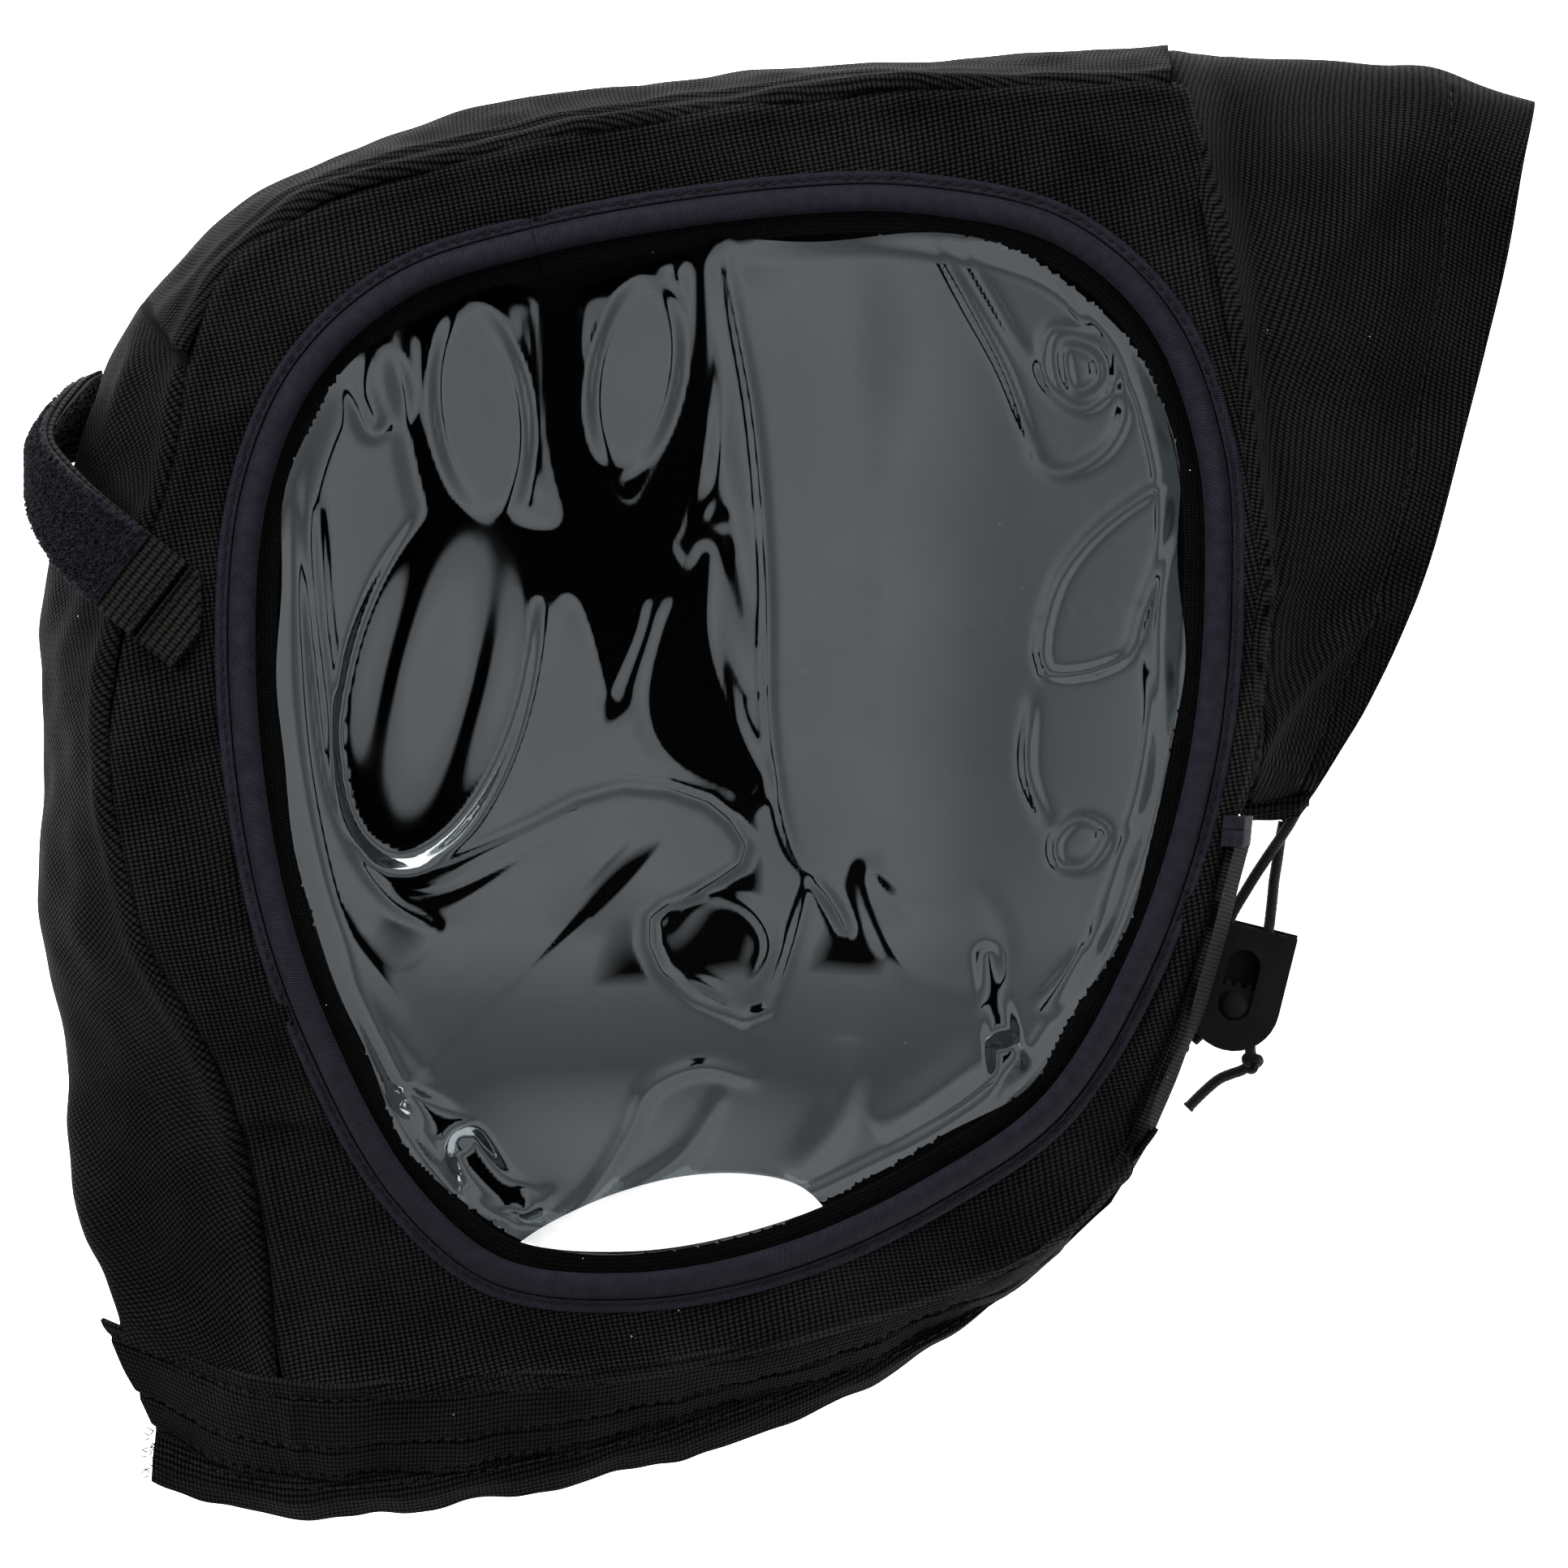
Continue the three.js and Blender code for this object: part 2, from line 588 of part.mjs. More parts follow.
function lockOutline(radius, reach) {
  const outline = [point(radius, reach), point(-radius, reach)];
  for (let i = 0; i <= 16; i += 1) {
    const angle = Math.PI + (Math.PI * i) / 16;
    outline.push(point(radius * Math.cos(angle), radius * Math.sin(angle)));
  }
  return outline;
}

function block(halfWidth, from, to, low, high) {
  const size = [2 * halfWidth, to - from, high - low];
  return new THREE.BoxGeometry(...size).translate(0, (from + to) / 2, (low + high) / 2);
}

function slotTool() {
  const radius = SLOT_WIDTH / 2;
  const first = SLOT_START + radius;
  const last = SLOT_START + SLOT_LENGTH - radius;
  const outline = [];
  for (const [centre, start] of [[last, 0], [first, Math.PI]]) {
    for (let i = 0; i <= 8; i += 1) {
      const angle = start + (Math.PI * i) / 8;
      outline.push(point(radius * Math.cos(angle), centre + radius * Math.sin(angle)));
    }
  }
  return plate(outline, 6, LOCK_TOP + 1);
}

function lockRearShell() {
  const body = plate(lockOutline(LOCK_RADIUS, LOCK_REACH + 0.8), 0.1, LOCK_SPLIT - GAP);
  return lockPlace(cut(body, block(CHANNEL_HALF, -20, 25, 1.5, LOCK_TOP)));
}

function lockFrontShell() {
  const body = plate(lockOutline(LOCK_RADIUS, LOCK_REACH), LOCK_SPLIT, LOCK_TOP);
  const pocket = block(5.6, SLOT_START - 1, 14.8, LOCK_SPLIT - 1, 6.7);
  return lockPlace(cut(body, pocket, slotTool()));
}

function lockSlider() {
  const body = block(5.2, -3.6, 5.2, LOCK_SPLIT + 0.1, 6.35);
  const pitch = 10.4 / (2 * TEETH - 1);
  const notches = Array.from({ length: TEETH - 1 }, (_, i) => {
    return block(pitch / 2, 4.1, 6, LOCK_SPLIT - 1, 8).translate(-5.2 + pitch * (2 * i + 1.5), 0, 0);
  });
  return lockPlace(cut(body, ...notches));
}

function lockButton() {
  const profile = [
    [0, 6.65], [2.7, 6.65], [BUTTON_RADIUS, 7], [BUTTON_RADIUS, 8], [2.5, 8.6], [1.4, 8.95], [0, 9.1],
  ];
  const dome = new THREE.LatheGeometry(profile.map(([r, z]) => new THREE.Vector2(r, z)), 20);
  return lockPlace(dome.rotateX(Math.PI / 2));
}

// ---- the assembly --------------------------------------------------------------------------
add('back_panel', 'shell_fabric', backPanel());
add('neck_arch_hem', 'shell_fabric', neckHem());
const leftSeams = [floorLeft, widestLeft, seamLeft];
add('crown_gusset', 'shell_fabric', gusset(leftSeams, 0, 0.384, 16, 1));
add('cheek_gusset', 'shell_fabric', gusset(leftSeams, 0.386, 1, 26, 1));
add('side_gusset', 'shell_fabric', gusset([floorRight, widestRight, seamRight], 0, 1, 8, -1));
add('front_panel', 'shell_fabric', frontPanel());
add('hem_casing', 'shell_fabric', hemStrip(hemUpper, hemLower, 0, 1, CLOTH));
add('hem_edge_fold', 'shell_fabric', hemStrip(hemLower, hemFoot, 0.08, 1, CLOTH));

add('window_flange', 'binding_tape', windowRing([[0.2, 0.6], [0.2, 1.4], [FLANGE, 1.4], [FLANGE, 0.6]], 56));
add('window_binding', 'binding_tape', windowRoll());
add('window_pane', 'clear_vinyl', windowPane());
const marginSection = [[5, -2.7], [5, -1.9], [13.5, -1.9], [13.5, -2.7]];
add('window_seam_allowance', 'seam_allowance', windowRing(marginSection, 56));

add('sleeve_front', 'shell_fabric', sleeveFront());
add('sleeve_back', 'shell_fabric', sleeveBack());
add('mouth_casing_front', 'shell_fabric', casingFront());
add('mouth_casing_back', 'shell_fabric', casingBack());
add('sleeve_end_hem', 'shell_fabric', sleeveEndHem());
add('side_tab', 'binding_tape', sideTab());

add('strap_anchor_patch', 'webbing', strapPatch());
add('strap_webbing', 'webbing', strapPiece(0, STRAP_LENGTH, STRAP_WIDTH / 2, WEBBING, WEBBING / 2));
const pileLift = WEBBING / 2 + 0.3 + PILE;
const tapeEnd = STRAP_LENGTH - 1;
add('strap_loop_tape', 'loop_pile', strapPiece(10, tapeEnd, STRAP_WIDTH / 2 - 0.4, PILE, pileLift));
const hookLift = -WEBBING / 2 - 0.3;
add('strap_hook_tape', 'hook_tape', strapPiece(52, tapeEnd, STRAP_WIDTH / 2 - 0.6, HOOK, hookLift));

add('drawcord_in_casing', 'cord', casingCordRun());
add('drawcord_left', 'cord', cordTube(CORD_LEFT, 14));
add('drawcord_right', 'cord', cordTube(CORD_RIGHT, 14));
add('drawcord_tail', 'cord', cordTube(CORD_TAIL, 6));
add('drawcord_knot_left', 'cord', knot(87.4, -56.6));
add('drawcord_knot_right', 'cord', knot(103.2, -60.9));

add('lock_rear_shell', 'lock_plastic', lockRearShell());
add('lock_front_shell', 'lock_plastic', lockFrontShell());
add('lock_slider', 'lock_plastic', lockSlider());
add('lock_button', 'lock_plastic', lockButton());

export default hood;
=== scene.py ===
"""Soft hood lying on its back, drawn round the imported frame.

Lengths below are millimetres unless a name says otherwise; mesh_object() turns them into metres.
X runs towards the sleeve, Y towards the crown and Z towards the window.
"""
import math

import bpy
import numpy as np
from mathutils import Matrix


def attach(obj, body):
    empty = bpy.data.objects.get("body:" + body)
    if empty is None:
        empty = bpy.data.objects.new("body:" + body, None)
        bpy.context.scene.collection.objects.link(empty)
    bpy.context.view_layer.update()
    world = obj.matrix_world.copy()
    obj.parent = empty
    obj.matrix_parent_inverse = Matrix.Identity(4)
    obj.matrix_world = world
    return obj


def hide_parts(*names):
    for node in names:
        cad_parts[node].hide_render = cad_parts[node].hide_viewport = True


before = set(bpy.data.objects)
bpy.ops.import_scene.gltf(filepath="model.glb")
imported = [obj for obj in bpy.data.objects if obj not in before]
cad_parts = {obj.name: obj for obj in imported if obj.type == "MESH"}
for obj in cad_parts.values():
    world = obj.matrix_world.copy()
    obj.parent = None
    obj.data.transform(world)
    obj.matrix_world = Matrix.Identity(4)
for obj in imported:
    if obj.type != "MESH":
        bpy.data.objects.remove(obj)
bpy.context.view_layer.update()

# ---- dimensions shared with the CAD model --------------------------------------------------
MM = 0.001
CLOTH = 1.2
FACING = 0.8
PANE = 0.5
CROWN_HEIGHT = 50
SLEEVE_DROP = 9
HEM_DROP = 27
WIDEST_HEIGHT = 16
LEDGE = 1.6
FLANGE = 2.7
ROLL_IN = 8.9
ROLL_HEIGHT = 3.4
MOUTH_HEIGHT = 18
CASING_START = 0.77
CASING_CHANNEL = 3.6
CORD = 2.4
STRAP_WIDTH = 20
WEBBING = 1.2
PILE = 1.1
STRAP_SKEW = math.radians(38)
STRAP_LENGTH = 80
STITCH_LINE = 9
STRAP_START_Y = 40.5
STRAP_STRAIGHT = 30           # free strap that still runs on at the full skew
STRAP_BEND = 0.0072           # radians by which the skew falls for each mm after that
STRAP_PULL = 8                # the bend follows the cheek inwards towards the crown
MARGIN = 13.2                 # window's black margin, inwards from the binding's outer edge

# ---- dimensions of the detail --------------------------------------------------------------
WEAVE = 0.92                  # thread pitch of the shell cloth
RIB = 0.56                    # pitch of the ribs across the binding tape
WEB_RIB = 1.9                 # pitch of the webbing's ribs
STITCH = 2.1                  # length of one visible stitch
STITCH_PITCH = 3.0
THREAD = 0.42                 # sewing thread, across


# ---- numbers on curves and fields ----------------------------------------------------------
def mix(a, b, share):
    return a + (b - a) * share


def ease(t):
    t = np.clip(t, 0, 1)
    return t * t * (3 - 2 * t)


def face_height(x, y):
    """Height of the front face above the ground."""
    return CROWN_HEIGHT - SLEEVE_DROP * ease((x - 20) / 85) - HEM_DROP * ease((-30 - y) / 100)


class Curve:
    """Centripetal Catmull-Rom curve through points, the same kind as in the CAD model."""

    def __init__(self, points, closed=False):
        points = np.array([tuple(p) + (0.0,) * (3 - len(p)) for p in points], float)
        self.closed = closed
        self.count = len(points)
        if not closed:
            first, last = 2 * points[0] - points[1], 2 * points[-1] - points[-2]
            points = np.vstack([first, points, last])
        self.points = points

    def at(self, t):
        t = np.asarray(t, float)
        if self.closed:
            place = (t % 1.0) * self.count
            i = np.floor(place).astype(int)
            index = [(i + k) % self.count for k in (-1, 0, 1, 2)]
        else:
            place = np.clip(t, 0, 1) * (self.count - 1)
            i = np.minimum(np.floor(place).astype(int), self.count - 2)
            index = [i, i + 1, i + 2, i + 3]
        w = (place - i)[..., None]
        p0, p1, p2, p3 = (self.points[k] for k in index)

        def gap(a, b):
            return np.maximum(((a - b) ** 2).sum(-1, keepdims=True) ** 0.25, 1e-4)

        g0, g1, g2 = gap(p0, p1), gap(p1, p2), gap(p2, p3)
        s1 = ((p1 - p0) / g0 - (p2 - p0) / (g0 + g1) + (p2 - p1) / g1) * g1
        s2 = ((p2 - p1) / g1 - (p3 - p1) / (g1 + g2) + (p3 - p2) / g2) * g1
        cube = 2 * p1 - 2 * p2 + s1 + s2
        square = -3 * p1 + 3 * p2 - 2 * s1 - s2
        return p1 + s1 * w + square * w**2 + cube * w**3

    def inset(self, t, distance):
        """Points moved sideways; positive distances go to the left of the curve's direction."""
        t = np.asarray(t, float)
        low, high = (t - 1e-4, t + 1e-4)
        if not self.closed:
            low, high = np.clip(low, 0, 1), np.clip(high, 0, 1)
        run = self.at(high) - self.at(low)
        size = np.maximum(np.hypot(run[..., 0], run[..., 1]), 1e-12)
        side = np.stack([-run[..., 1] / size, run[..., 0] / size, np.zeros_like(size)], -1)
        return self.at(t) + side * np.asarray(distance)[..., None]

    def even(self, count):
        """Points at equal distances along the curve."""
        fine = self.at(np.linspace(0, 1, 2000, endpoint=not self.closed))
        if self.closed:
            fine = np.vstack([fine, fine[:1]])
        run = np.concatenate([[0], np.cumsum(np.linalg.norm(np.diff(fine, axis=0), axis=1))])
        wanted = np.linspace(0, run[-1], count, endpoint=not self.closed)
        return np.stack([np.interp(wanted, run, fine[:, k]) for k in range(3)], -1)

    def length(self):
        return np.linalg.norm(np.diff(self.at(np.linspace(0, 1, 2000)), axis=0), axis=1).sum()


def waves(x, y, pitch, seed, count=7):
    """Smooth unevenness between about -1 and 1, the same on every run."""
    draw = np.random.default_rng(seed)
    x, y = np.broadcast_arrays(np.asarray(x, float), np.asarray(y, float))
    total = np.zeros(x.shape)
    for _ in range(count):
        angle = draw.uniform(0, math.tau)
        rate = math.tau / (pitch * draw.uniform(0.7, 1.6))
        phase = draw.uniform(0, math.tau)
        total += np.sin(rate * (x * math.cos(angle) + y * math.sin(angle)) + phase)
    return total / math.sqrt(count)


def line_distance(x, y, line):
    """Distance to a polyline, the side (+1 is its left) and the share of its length run."""
    line = np.asarray(line, float)[:, :2]
    runs = np.maximum(np.hypot(*np.diff(line, axis=0).T), 1e-9)
    best = np.full(x.shape, 1e9)
    side = np.zeros(x.shape)
    share = np.zeros(x.shape)
    before = 0.0
    for a, b, run in zip(line[:-1], line[1:], runs):
        d = b - a
        w = np.clip(((x - a[0]) * d[0] + (y - a[1]) * d[1]) / run**2, 0, 1)
        dx, dy = x - a[0] - w * d[0], y - a[1] - w * d[1]
        distance = np.hypot(dx, dy)
        closer = distance < best
        best = np.where(closer, distance, best)
        side = np.where(closer, np.sign(d[0] * dy - d[1] * dx), side)
        share = np.where(closer, (before + w * run) / runs.sum(), share)
        before += run
    return best, side, share


def bow(points, closed=False, count=26):
    return Curve(points, closed).at(np.linspace(0, 1, count))


def ridge(x, y, points, width, height, closed=False):
    """A rounded ridge along a smooth line that fades out at its ends."""
    line = bow(points, closed)
    if closed:
        line = np.vstack([line, line[:1]])
    distance, _, share = line_distance(x, y, line)
    fade = 1.0 if closed else np.sqrt(np.sin(np.pi * np.clip(share, 0.004, 0.996)))
    return height * np.exp(-((distance / width) ** 2)) * fade


def tuck(x, y, points, reach, height, sharp=0.7):
    """Cloth folded over itself: high on the line's left, low on its right."""
    distance, side, share = line_distance(x, y, bow(points))
    fade = np.sqrt(np.sin(np.pi * np.clip(share, 0.004, 0.996)))
    return height * np.tanh(side * distance / sharp) * np.exp(-distance / reach) * fade


# ---- meshes --------------------------------------------------------------------------------
def mesh_object(name, vertices, faces, uv=None, slots=None):
    """A smooth-shaded object from points in mm; uv holds one place in mm for each point."""
    mesh = bpy.data.meshes.new(name)
    faces = faces.tolist() if isinstance(faces, np.ndarray) else faces
    mesh.from_pydata((np.asarray(vertices, float) * MM).tolist(), [], faces)
    if uv is not None:
        corner = np.empty(len(mesh.loops), int)
        mesh.loops.foreach_get("vertex_index", corner)
        layer = mesh.uv_layers.new(name="mm")
        layer.data.foreach_set("uv", np.asarray(uv, float)[corner].ravel())
    mesh.polygons.foreach_set("use_smooth", [True] * len(mesh.polygons))
    if slots is not None:
        mesh.polygons.foreach_set("material_index", np.asarray(slots, int))
    mesh.update()
    obj = bpy.data.objects.new(name, mesh)
    bpy.context.scene.collection.objects.link(obj)
    return obj


def grid_faces(rows, columns, closed=False):
    i = np.arange(rows if closed else rows - 1)[:, None]
    j = np.arange(columns - 1)[None, :]
    a, b = i * columns + j, ((i + 1) % rows) * columns + j
    return np.stack([a, b, b + 1, a + 1], -1).reshape(-1, 4)


def grid_normals(grid, closed=False):
    if closed:
        along = np.roll(grid, -1, 0) - np.roll(grid, 1, 0)
    else:
        along = np.gradient(grid, axis=0)
    normal = np.cross(along, np.gradient(grid, axis=1))
    return normal / np.maximum(np.linalg.norm(normal, axis=-1, keepdims=True), 1e-9)


def upward(grid, closed=False):
    """Normals of a grid whose outer face looks mostly up."""
    normal = grid_normals(grid, closed)
    return normal if normal[..., 2].mean() > 0 else -normal


def rim_faces(rows, columns, closed):
    """Strips that close the edge between an outer grid and the inner one after it."""
    under = rows * columns
    i = np.arange(rows if closed else rows - 1)
    strips = []
    for column, turned in ((0, True), (columns - 1, False)):
        a, b = i * columns + column, ((i + 1) % rows) * columns + column
        strip = np.stack([a, b, b + under, a + under], -1)
        strips.append(strip[:, ::-1] if turned else strip)
    if not closed:
        j = np.arange(columns - 1)
        for row, turned in ((0, False), (rows - 1, True)):
            a = row * columns + j
            strip = np.stack([a, a + 1, a + 1 + under, a + under], -1)
            strips.append(strip[:, ::-1] if turned else strip)
    return np.vstack(strips)


def volume(vertices, faces):
    a, b, c, d = (vertices[faces[:, k]] for k in range(4))
    return (np.cross(a, b) * c).sum() + (np.cross(a, c) * d).sum()


def sheet_object(name, grid, uv, thickness, closed=False, straight=False, slots=None):
    """A closed body: the grid is its outer face, the inner one lies a thickness behind it."""
    rows, columns = grid.shape[:2]
    normal = upward(grid, closed)
    if straight:
        normal = np.broadcast_to([0.0, 0.0, 1.0], grid.shape)
    vertices = np.vstack([grid.reshape(-1, 3), (grid - normal * thickness).reshape(-1, 3)])
    top = grid_faces(rows, columns, closed)
    faces = np.vstack([top, top[:, ::-1] + rows * columns, rim_faces(rows, columns, closed)])
    if volume(vertices, faces) < 0:
        faces = faces[:, ::-1]
    kinds = None
    if slots is not None:
        kinds = np.zeros(len(faces), int)
        kinds[: len(top)] = slots
        kinds[len(top) : 2 * len(top)] = slots
    return mesh_object(name, vertices, faces, np.vstack([uv.reshape(-1, 2)] * 2), kinds)


def arc_uv(grid):
    """Lengths in mm along the grid's columns and rows, as the cloth lay when flat."""
    across = np.linalg.norm(np.diff(grid, axis=1), axis=-1)
    across = np.concatenate([np.zeros((len(grid), 1)), np.cumsum(across, axis=1)], axis=1)
    along = np.linalg.norm(np.diff(grid, axis=0), axis=-1).mean(axis=1)
    along = np.concatenate([[0], np.cumsum(along)])
    across = across - across[:, -1:]
    return np.stack([across, np.broadcast_to(along[:, None], across.shape)], -1)


def turned(uv, degrees):
    angle = math.radians(degrees)
    u, v = uv[..., 0], uv[..., 1]
    return np.stack([u * math.cos(angle) - v * math.sin(angle), u * math.sin(angle) + v * math.cos(angle)], -1)


def frames_along(path):
    """Unit directions along a path and two unit directions across it, without twist."""
    run = np.gradient(path, axis=0)
    run /= np.linalg.norm(run, axis=1, keepdims=True)
    side = np.cross(run[0], [0.0, 0.0, 1.0])
    if np.linalg.norm(side) < 0.1:
        side = np.cross(run[0], [1.0, 0.0, 0.0])
    sides = []
    for direction in run:
        side = side - direction * side.dot(direction)
        side /= np.linalg.norm(side)
        sides.append(side)
    sides = np.array(sides)
    return run, sides, np.cross(run, sides)


def tube(path, radius, around, relief=None):
    """Points, faces and uv of a closed tube; relief(angle, run) scales its radius."""
    path = np.asarray(path, float)
    _, side, up = frames_along(path)
    run = np.concatenate([[0], np.cumsum(np.linalg.norm(np.diff(path, axis=0), axis=1))])
    angle = np.linspace(0, math.tau, around, endpoint=False)
    size = np.broadcast_to(np.asarray(radius, float).reshape(-1, 1), (len(path), 1))
    size = size * (relief(angle[None, :], run[:, None]) if relief else np.ones((1, around)))
    ring = side[:, None, :] * np.cos(angle)[None, :, None] + up[:, None, :] * np.sin(angle)[None, :, None]
    points = path[:, None, :] + ring * size[..., None]
    count = len(path)
    i, j = np.arange(count - 1)[:, None], np.arange(around)[None, :]
    a, b = i * around + j, i * around + (j + 1) % around
    faces = np.stack([a, b, b + around, a + around], -1).reshape(-1, 4)
    ends = np.arange(around)
    first = np.stack([np.full(around, count * around), (ends + 1) % around, ends, ends], -1)
    last_row = (count - 1) * around
    last = np.stack([np.full(around, count * around + 1), last_row + ends, last_row + (ends + 1) % around, ends], -1)
    points = np.vstack([points.reshape(-1, 3), path[:1], path[-1:]])
    caps = np.vstack([first, last])[:, :3]
    uv = np.stack(np.broadcast_arrays(angle[None, :] * np.mean(size), run[:, None]), -1).reshape(-1, 2)
    uv = np.vstack([uv, [[0, 0]], [[0, run[-1]]]])
    return points, faces, caps, uv


def tube_object(name, path, radius, around=16, relief=None):
    points, faces, caps, uv = tube(path, radius, around, relief)
    return mesh_object(name, points, faces.tolist() + caps.tolist(), uv)


def many(name, parts):
    """One object from many small bodies, each given as points and faces."""
    vertices, faces, uvs, start = [], [], [], 0
    for points, sides, *rest in parts:
        vertices.append(points)
        faces.extend([[v + start for v in side] for side in sides])
        uvs.append(rest[0] if rest else np.zeros((len(points), 2)))
        start += len(points)
    return mesh_object(name, np.vstack(vertices), faces, np.vstack(uvs))


# ---- materials -----------------------------------------------------------------------------
class Look:
    """A material being put together; socket names are given with underscores for spaces."""

    def __init__(self, name, **constants):
        self.material = bpy.data.materials.new(name)
        self.material.use_nodes = True
        self.tree = self.material.node_tree
        self.shader = next(n for n in self.tree.nodes if n.type == "BSDF_PRINCIPLED")
        for socket, value in constants.items():
            self.shader.inputs[socket.replace("_", " ")].default_value = value

    def put(self, socket, value):
        if isinstance(value, bpy.types.NodeSocket):
            self.tree.links.new(value, socket)
        else:
            socket.default_value = value

    def node(self, kind, inputs=(), **settings):
        made = self.tree.nodes.new("ShaderNode" + kind)
        for key, value in settings.items():
            setattr(made, key, value)
        for key, value in dict(inputs).items():
            self.put(made.inputs[key], value)
        return made

    def math(self, operation, *values):
        made = self.node("Math", operation=operation)
        for socket, value in zip(made.inputs, values):
            self.put(socket, value)
        return made.outputs[0]

    def ramp(self, value, *stops):
        made = self.node("ValToRGB", {"Fac": value})
        band = made.color_ramp.elements
        while len(band) < len(stops):
            band.new(0.5)
        for element, (place, colour) in zip(band, stops):
            element.position = place
            element.color = (*colour, 1) if isinstance(colour, tuple) else (colour, colour, colour, 1)
        return made.outputs["Color"]

    def uv(self):
        """The cloth's own places in mm, as two numbers."""
        spot = self.node("UVMap", uv_map="mm").outputs["UV"]
        parts = self.node("SeparateXYZ", {0: spot})
        return spot, parts.outputs[0], parts.outputs[1]

    def place(self):
        return self.node("TexCoord").outputs["Object"]

    def noise(self, place, pitch, detail=2.0, rough=0.5):
        """Fractal noise of about the given pitch, in the units of place."""
        inputs = {"Vector": place, "Scale": 1 / pitch, "Detail": detail, "Roughness": rough}
        return self.node("TexNoise", inputs).outputs["Fac"]

    def specks(self, pitch, size):
        """1 inside scattered lint specks and 0 elsewhere; pitch and size in metres."""
        cells = self.node("TexVoronoi", {"Vector": self.place(), "Scale": 1 / pitch})
        return self.math("LESS_THAN", cells.outputs["Distance"], size / pitch)

    def lint(self, colour, amount, tint=(0.32, 0.32, 0.34, 1)):
        made = self.node("MixRGB", {"Fac": amount, "Color1": colour, "Color2": tint})
        return made.outputs[0]

    def bump(self, height, distance, strength=1.0):
        """distance is the height in metres that a rise of 1 stands for."""
        inputs = {"Height": height, "Distance": distance, "Strength": strength}
        self.put(self.shader.inputs["Normal"], self.node("Bump", inputs).outputs[0])

    def colour(self, value):
        self.put(self.shader.inputs["Base Color"], value)

    def roughness(self, value, low, high):
        inputs = {"Value": value, "To Min": low, "To Max": high}
        self.put(self.shader.inputs["Roughness"], self.node("MapRange", inputs).outputs[0])


def plain_weave(look, u, v):
    """Height of a plain weave whose threads are one unit apart, 0 between them and 1 on top."""
    wave_u = look.math("SINE", look.math("MULTIPLY", u, math.pi))
    wave_v = look.math("SINE", look.math("MULTIPLY", v, math.pi))
    height = []
    for across, along, way in ((wave_u, wave_v, 0.5), (wave_v, wave_u, -0.5)):
        round_top = look.math("POWER", look.math("ABSOLUTE", across), 0.5)
        over = look.math("MULTIPLY", along, look.math("SIGN", across))
        bend = look.math("MULTIPLY", over, way)
        height.append(look.math("MULTIPLY_ADD", round_top, 0.5, bend))
    return look.math("MAXIMUM", *height)


def weave_look(name, tones, pitch=WEAVE, stretch=1.35, relief=0.0004, sheen=0.009, specks=0.011):
    """Coarse woven cloth: uneven threads, painted shade in the gaps between them, a faint sheen and a little lint."""
    look = Look(name, Sheen_Weight=sheen, Sheen_Roughness=0.38, Specular_IOR_Level=0.012)
    look.shader.inputs["Sheen Tint"].default_value = (0.72, 0.74, 0.82, 1)
    spot, u, v = look.uv()
    drift = look.node("TexNoise", {"Vector": spot, "Scale": 0.35, "Detail": 2.0})
    parts = look.node("SeparateXYZ", {0: drift.outputs["Color"]})
    u = look.math("MULTIPLY_ADD", look.math("SUBTRACT", parts.outputs[0], 0.5), 0.5, u)
    v = look.math("MULTIPLY_ADD", look.math("SUBTRACT", parts.outputs[1], 0.5), 0.5, v)
    u = look.math("DIVIDE", u, pitch * stretch)
    v = look.math("DIVIDE", v, pitch)
    height = plain_weave(look, u, v)
    fuzz = look.noise(spot, 0.35, 3.0)
    height = look.math("MULTIPLY_ADD", look.math("SUBTRACT", fuzz, 0.5), 0.22, height)
    wear = look.noise(look.place(), 0.03, 4.0)
    # Colour from thread height: painted shade in the gaps between threads and lighter thread tops, plus random tone
    # from the wear noise.
    tone = look.math("MULTIPLY_ADD", look.math("SUBTRACT", wear, 0.5), 0.5, height)
    low, middle, high = tones
    tone_and_groove_shade = look.ramp(tone, (0.18, low), (0.62, middle), (1.0, high))
    look.colour(look.lint(tone_and_groove_shade, look.specks(specks, 0.00016)))
    look.roughness(height, 0.9, 0.55)
    look.bump(height, relief)
    return look.material


def tape_look():
    """Satin binding tape with fine ribs that run across it."""
    look = Look("binding_tape", Sheen_Weight=0.018, Sheen_Roughness=0.3, Specular_IOR_Level=0.07)
    look.shader.inputs["Sheen Tint"].default_value = (0.68, 0.68, 0.9, 1)
    spot, u, v = look.uv()
    slant = look.math("MULTIPLY_ADD", u, 0.35, v)
    ribs = look.math("SINE", look.math("MULTIPLY", slant, math.tau / RIB))
    weft = look.math("SINE", look.math("MULTIPLY", u, math.tau / 0.33))
    height = look.math("MULTIPLY_ADD", weft, 0.15, look.math("MULTIPLY_ADD", ribs, 0.5, 0.5))
    uneven = look.noise(spot, 3.0, 3.0)
    # Colour from rib height: painted shade in the grooves between ribs and lighter rib tops, mixed with random
    # unevenness in tone.
    tone = look.math("MULTIPLY_ADD", uneven, 0.6, look.math("MULTIPLY", height, 0.55))
    tone_and_groove_shade = look.ramp(tone, (0.15, (0.0018, 0.0017, 0.0026)), (0.9, (0.0105, 0.0101, 0.015)))
    look.colour(look.lint(tone_and_groove_shade, look.specks(0.016, 0.00014)))
    look.roughness(uneven, 0.46, 0.66)
    look.bump(height, 0.00011)
    return look.material


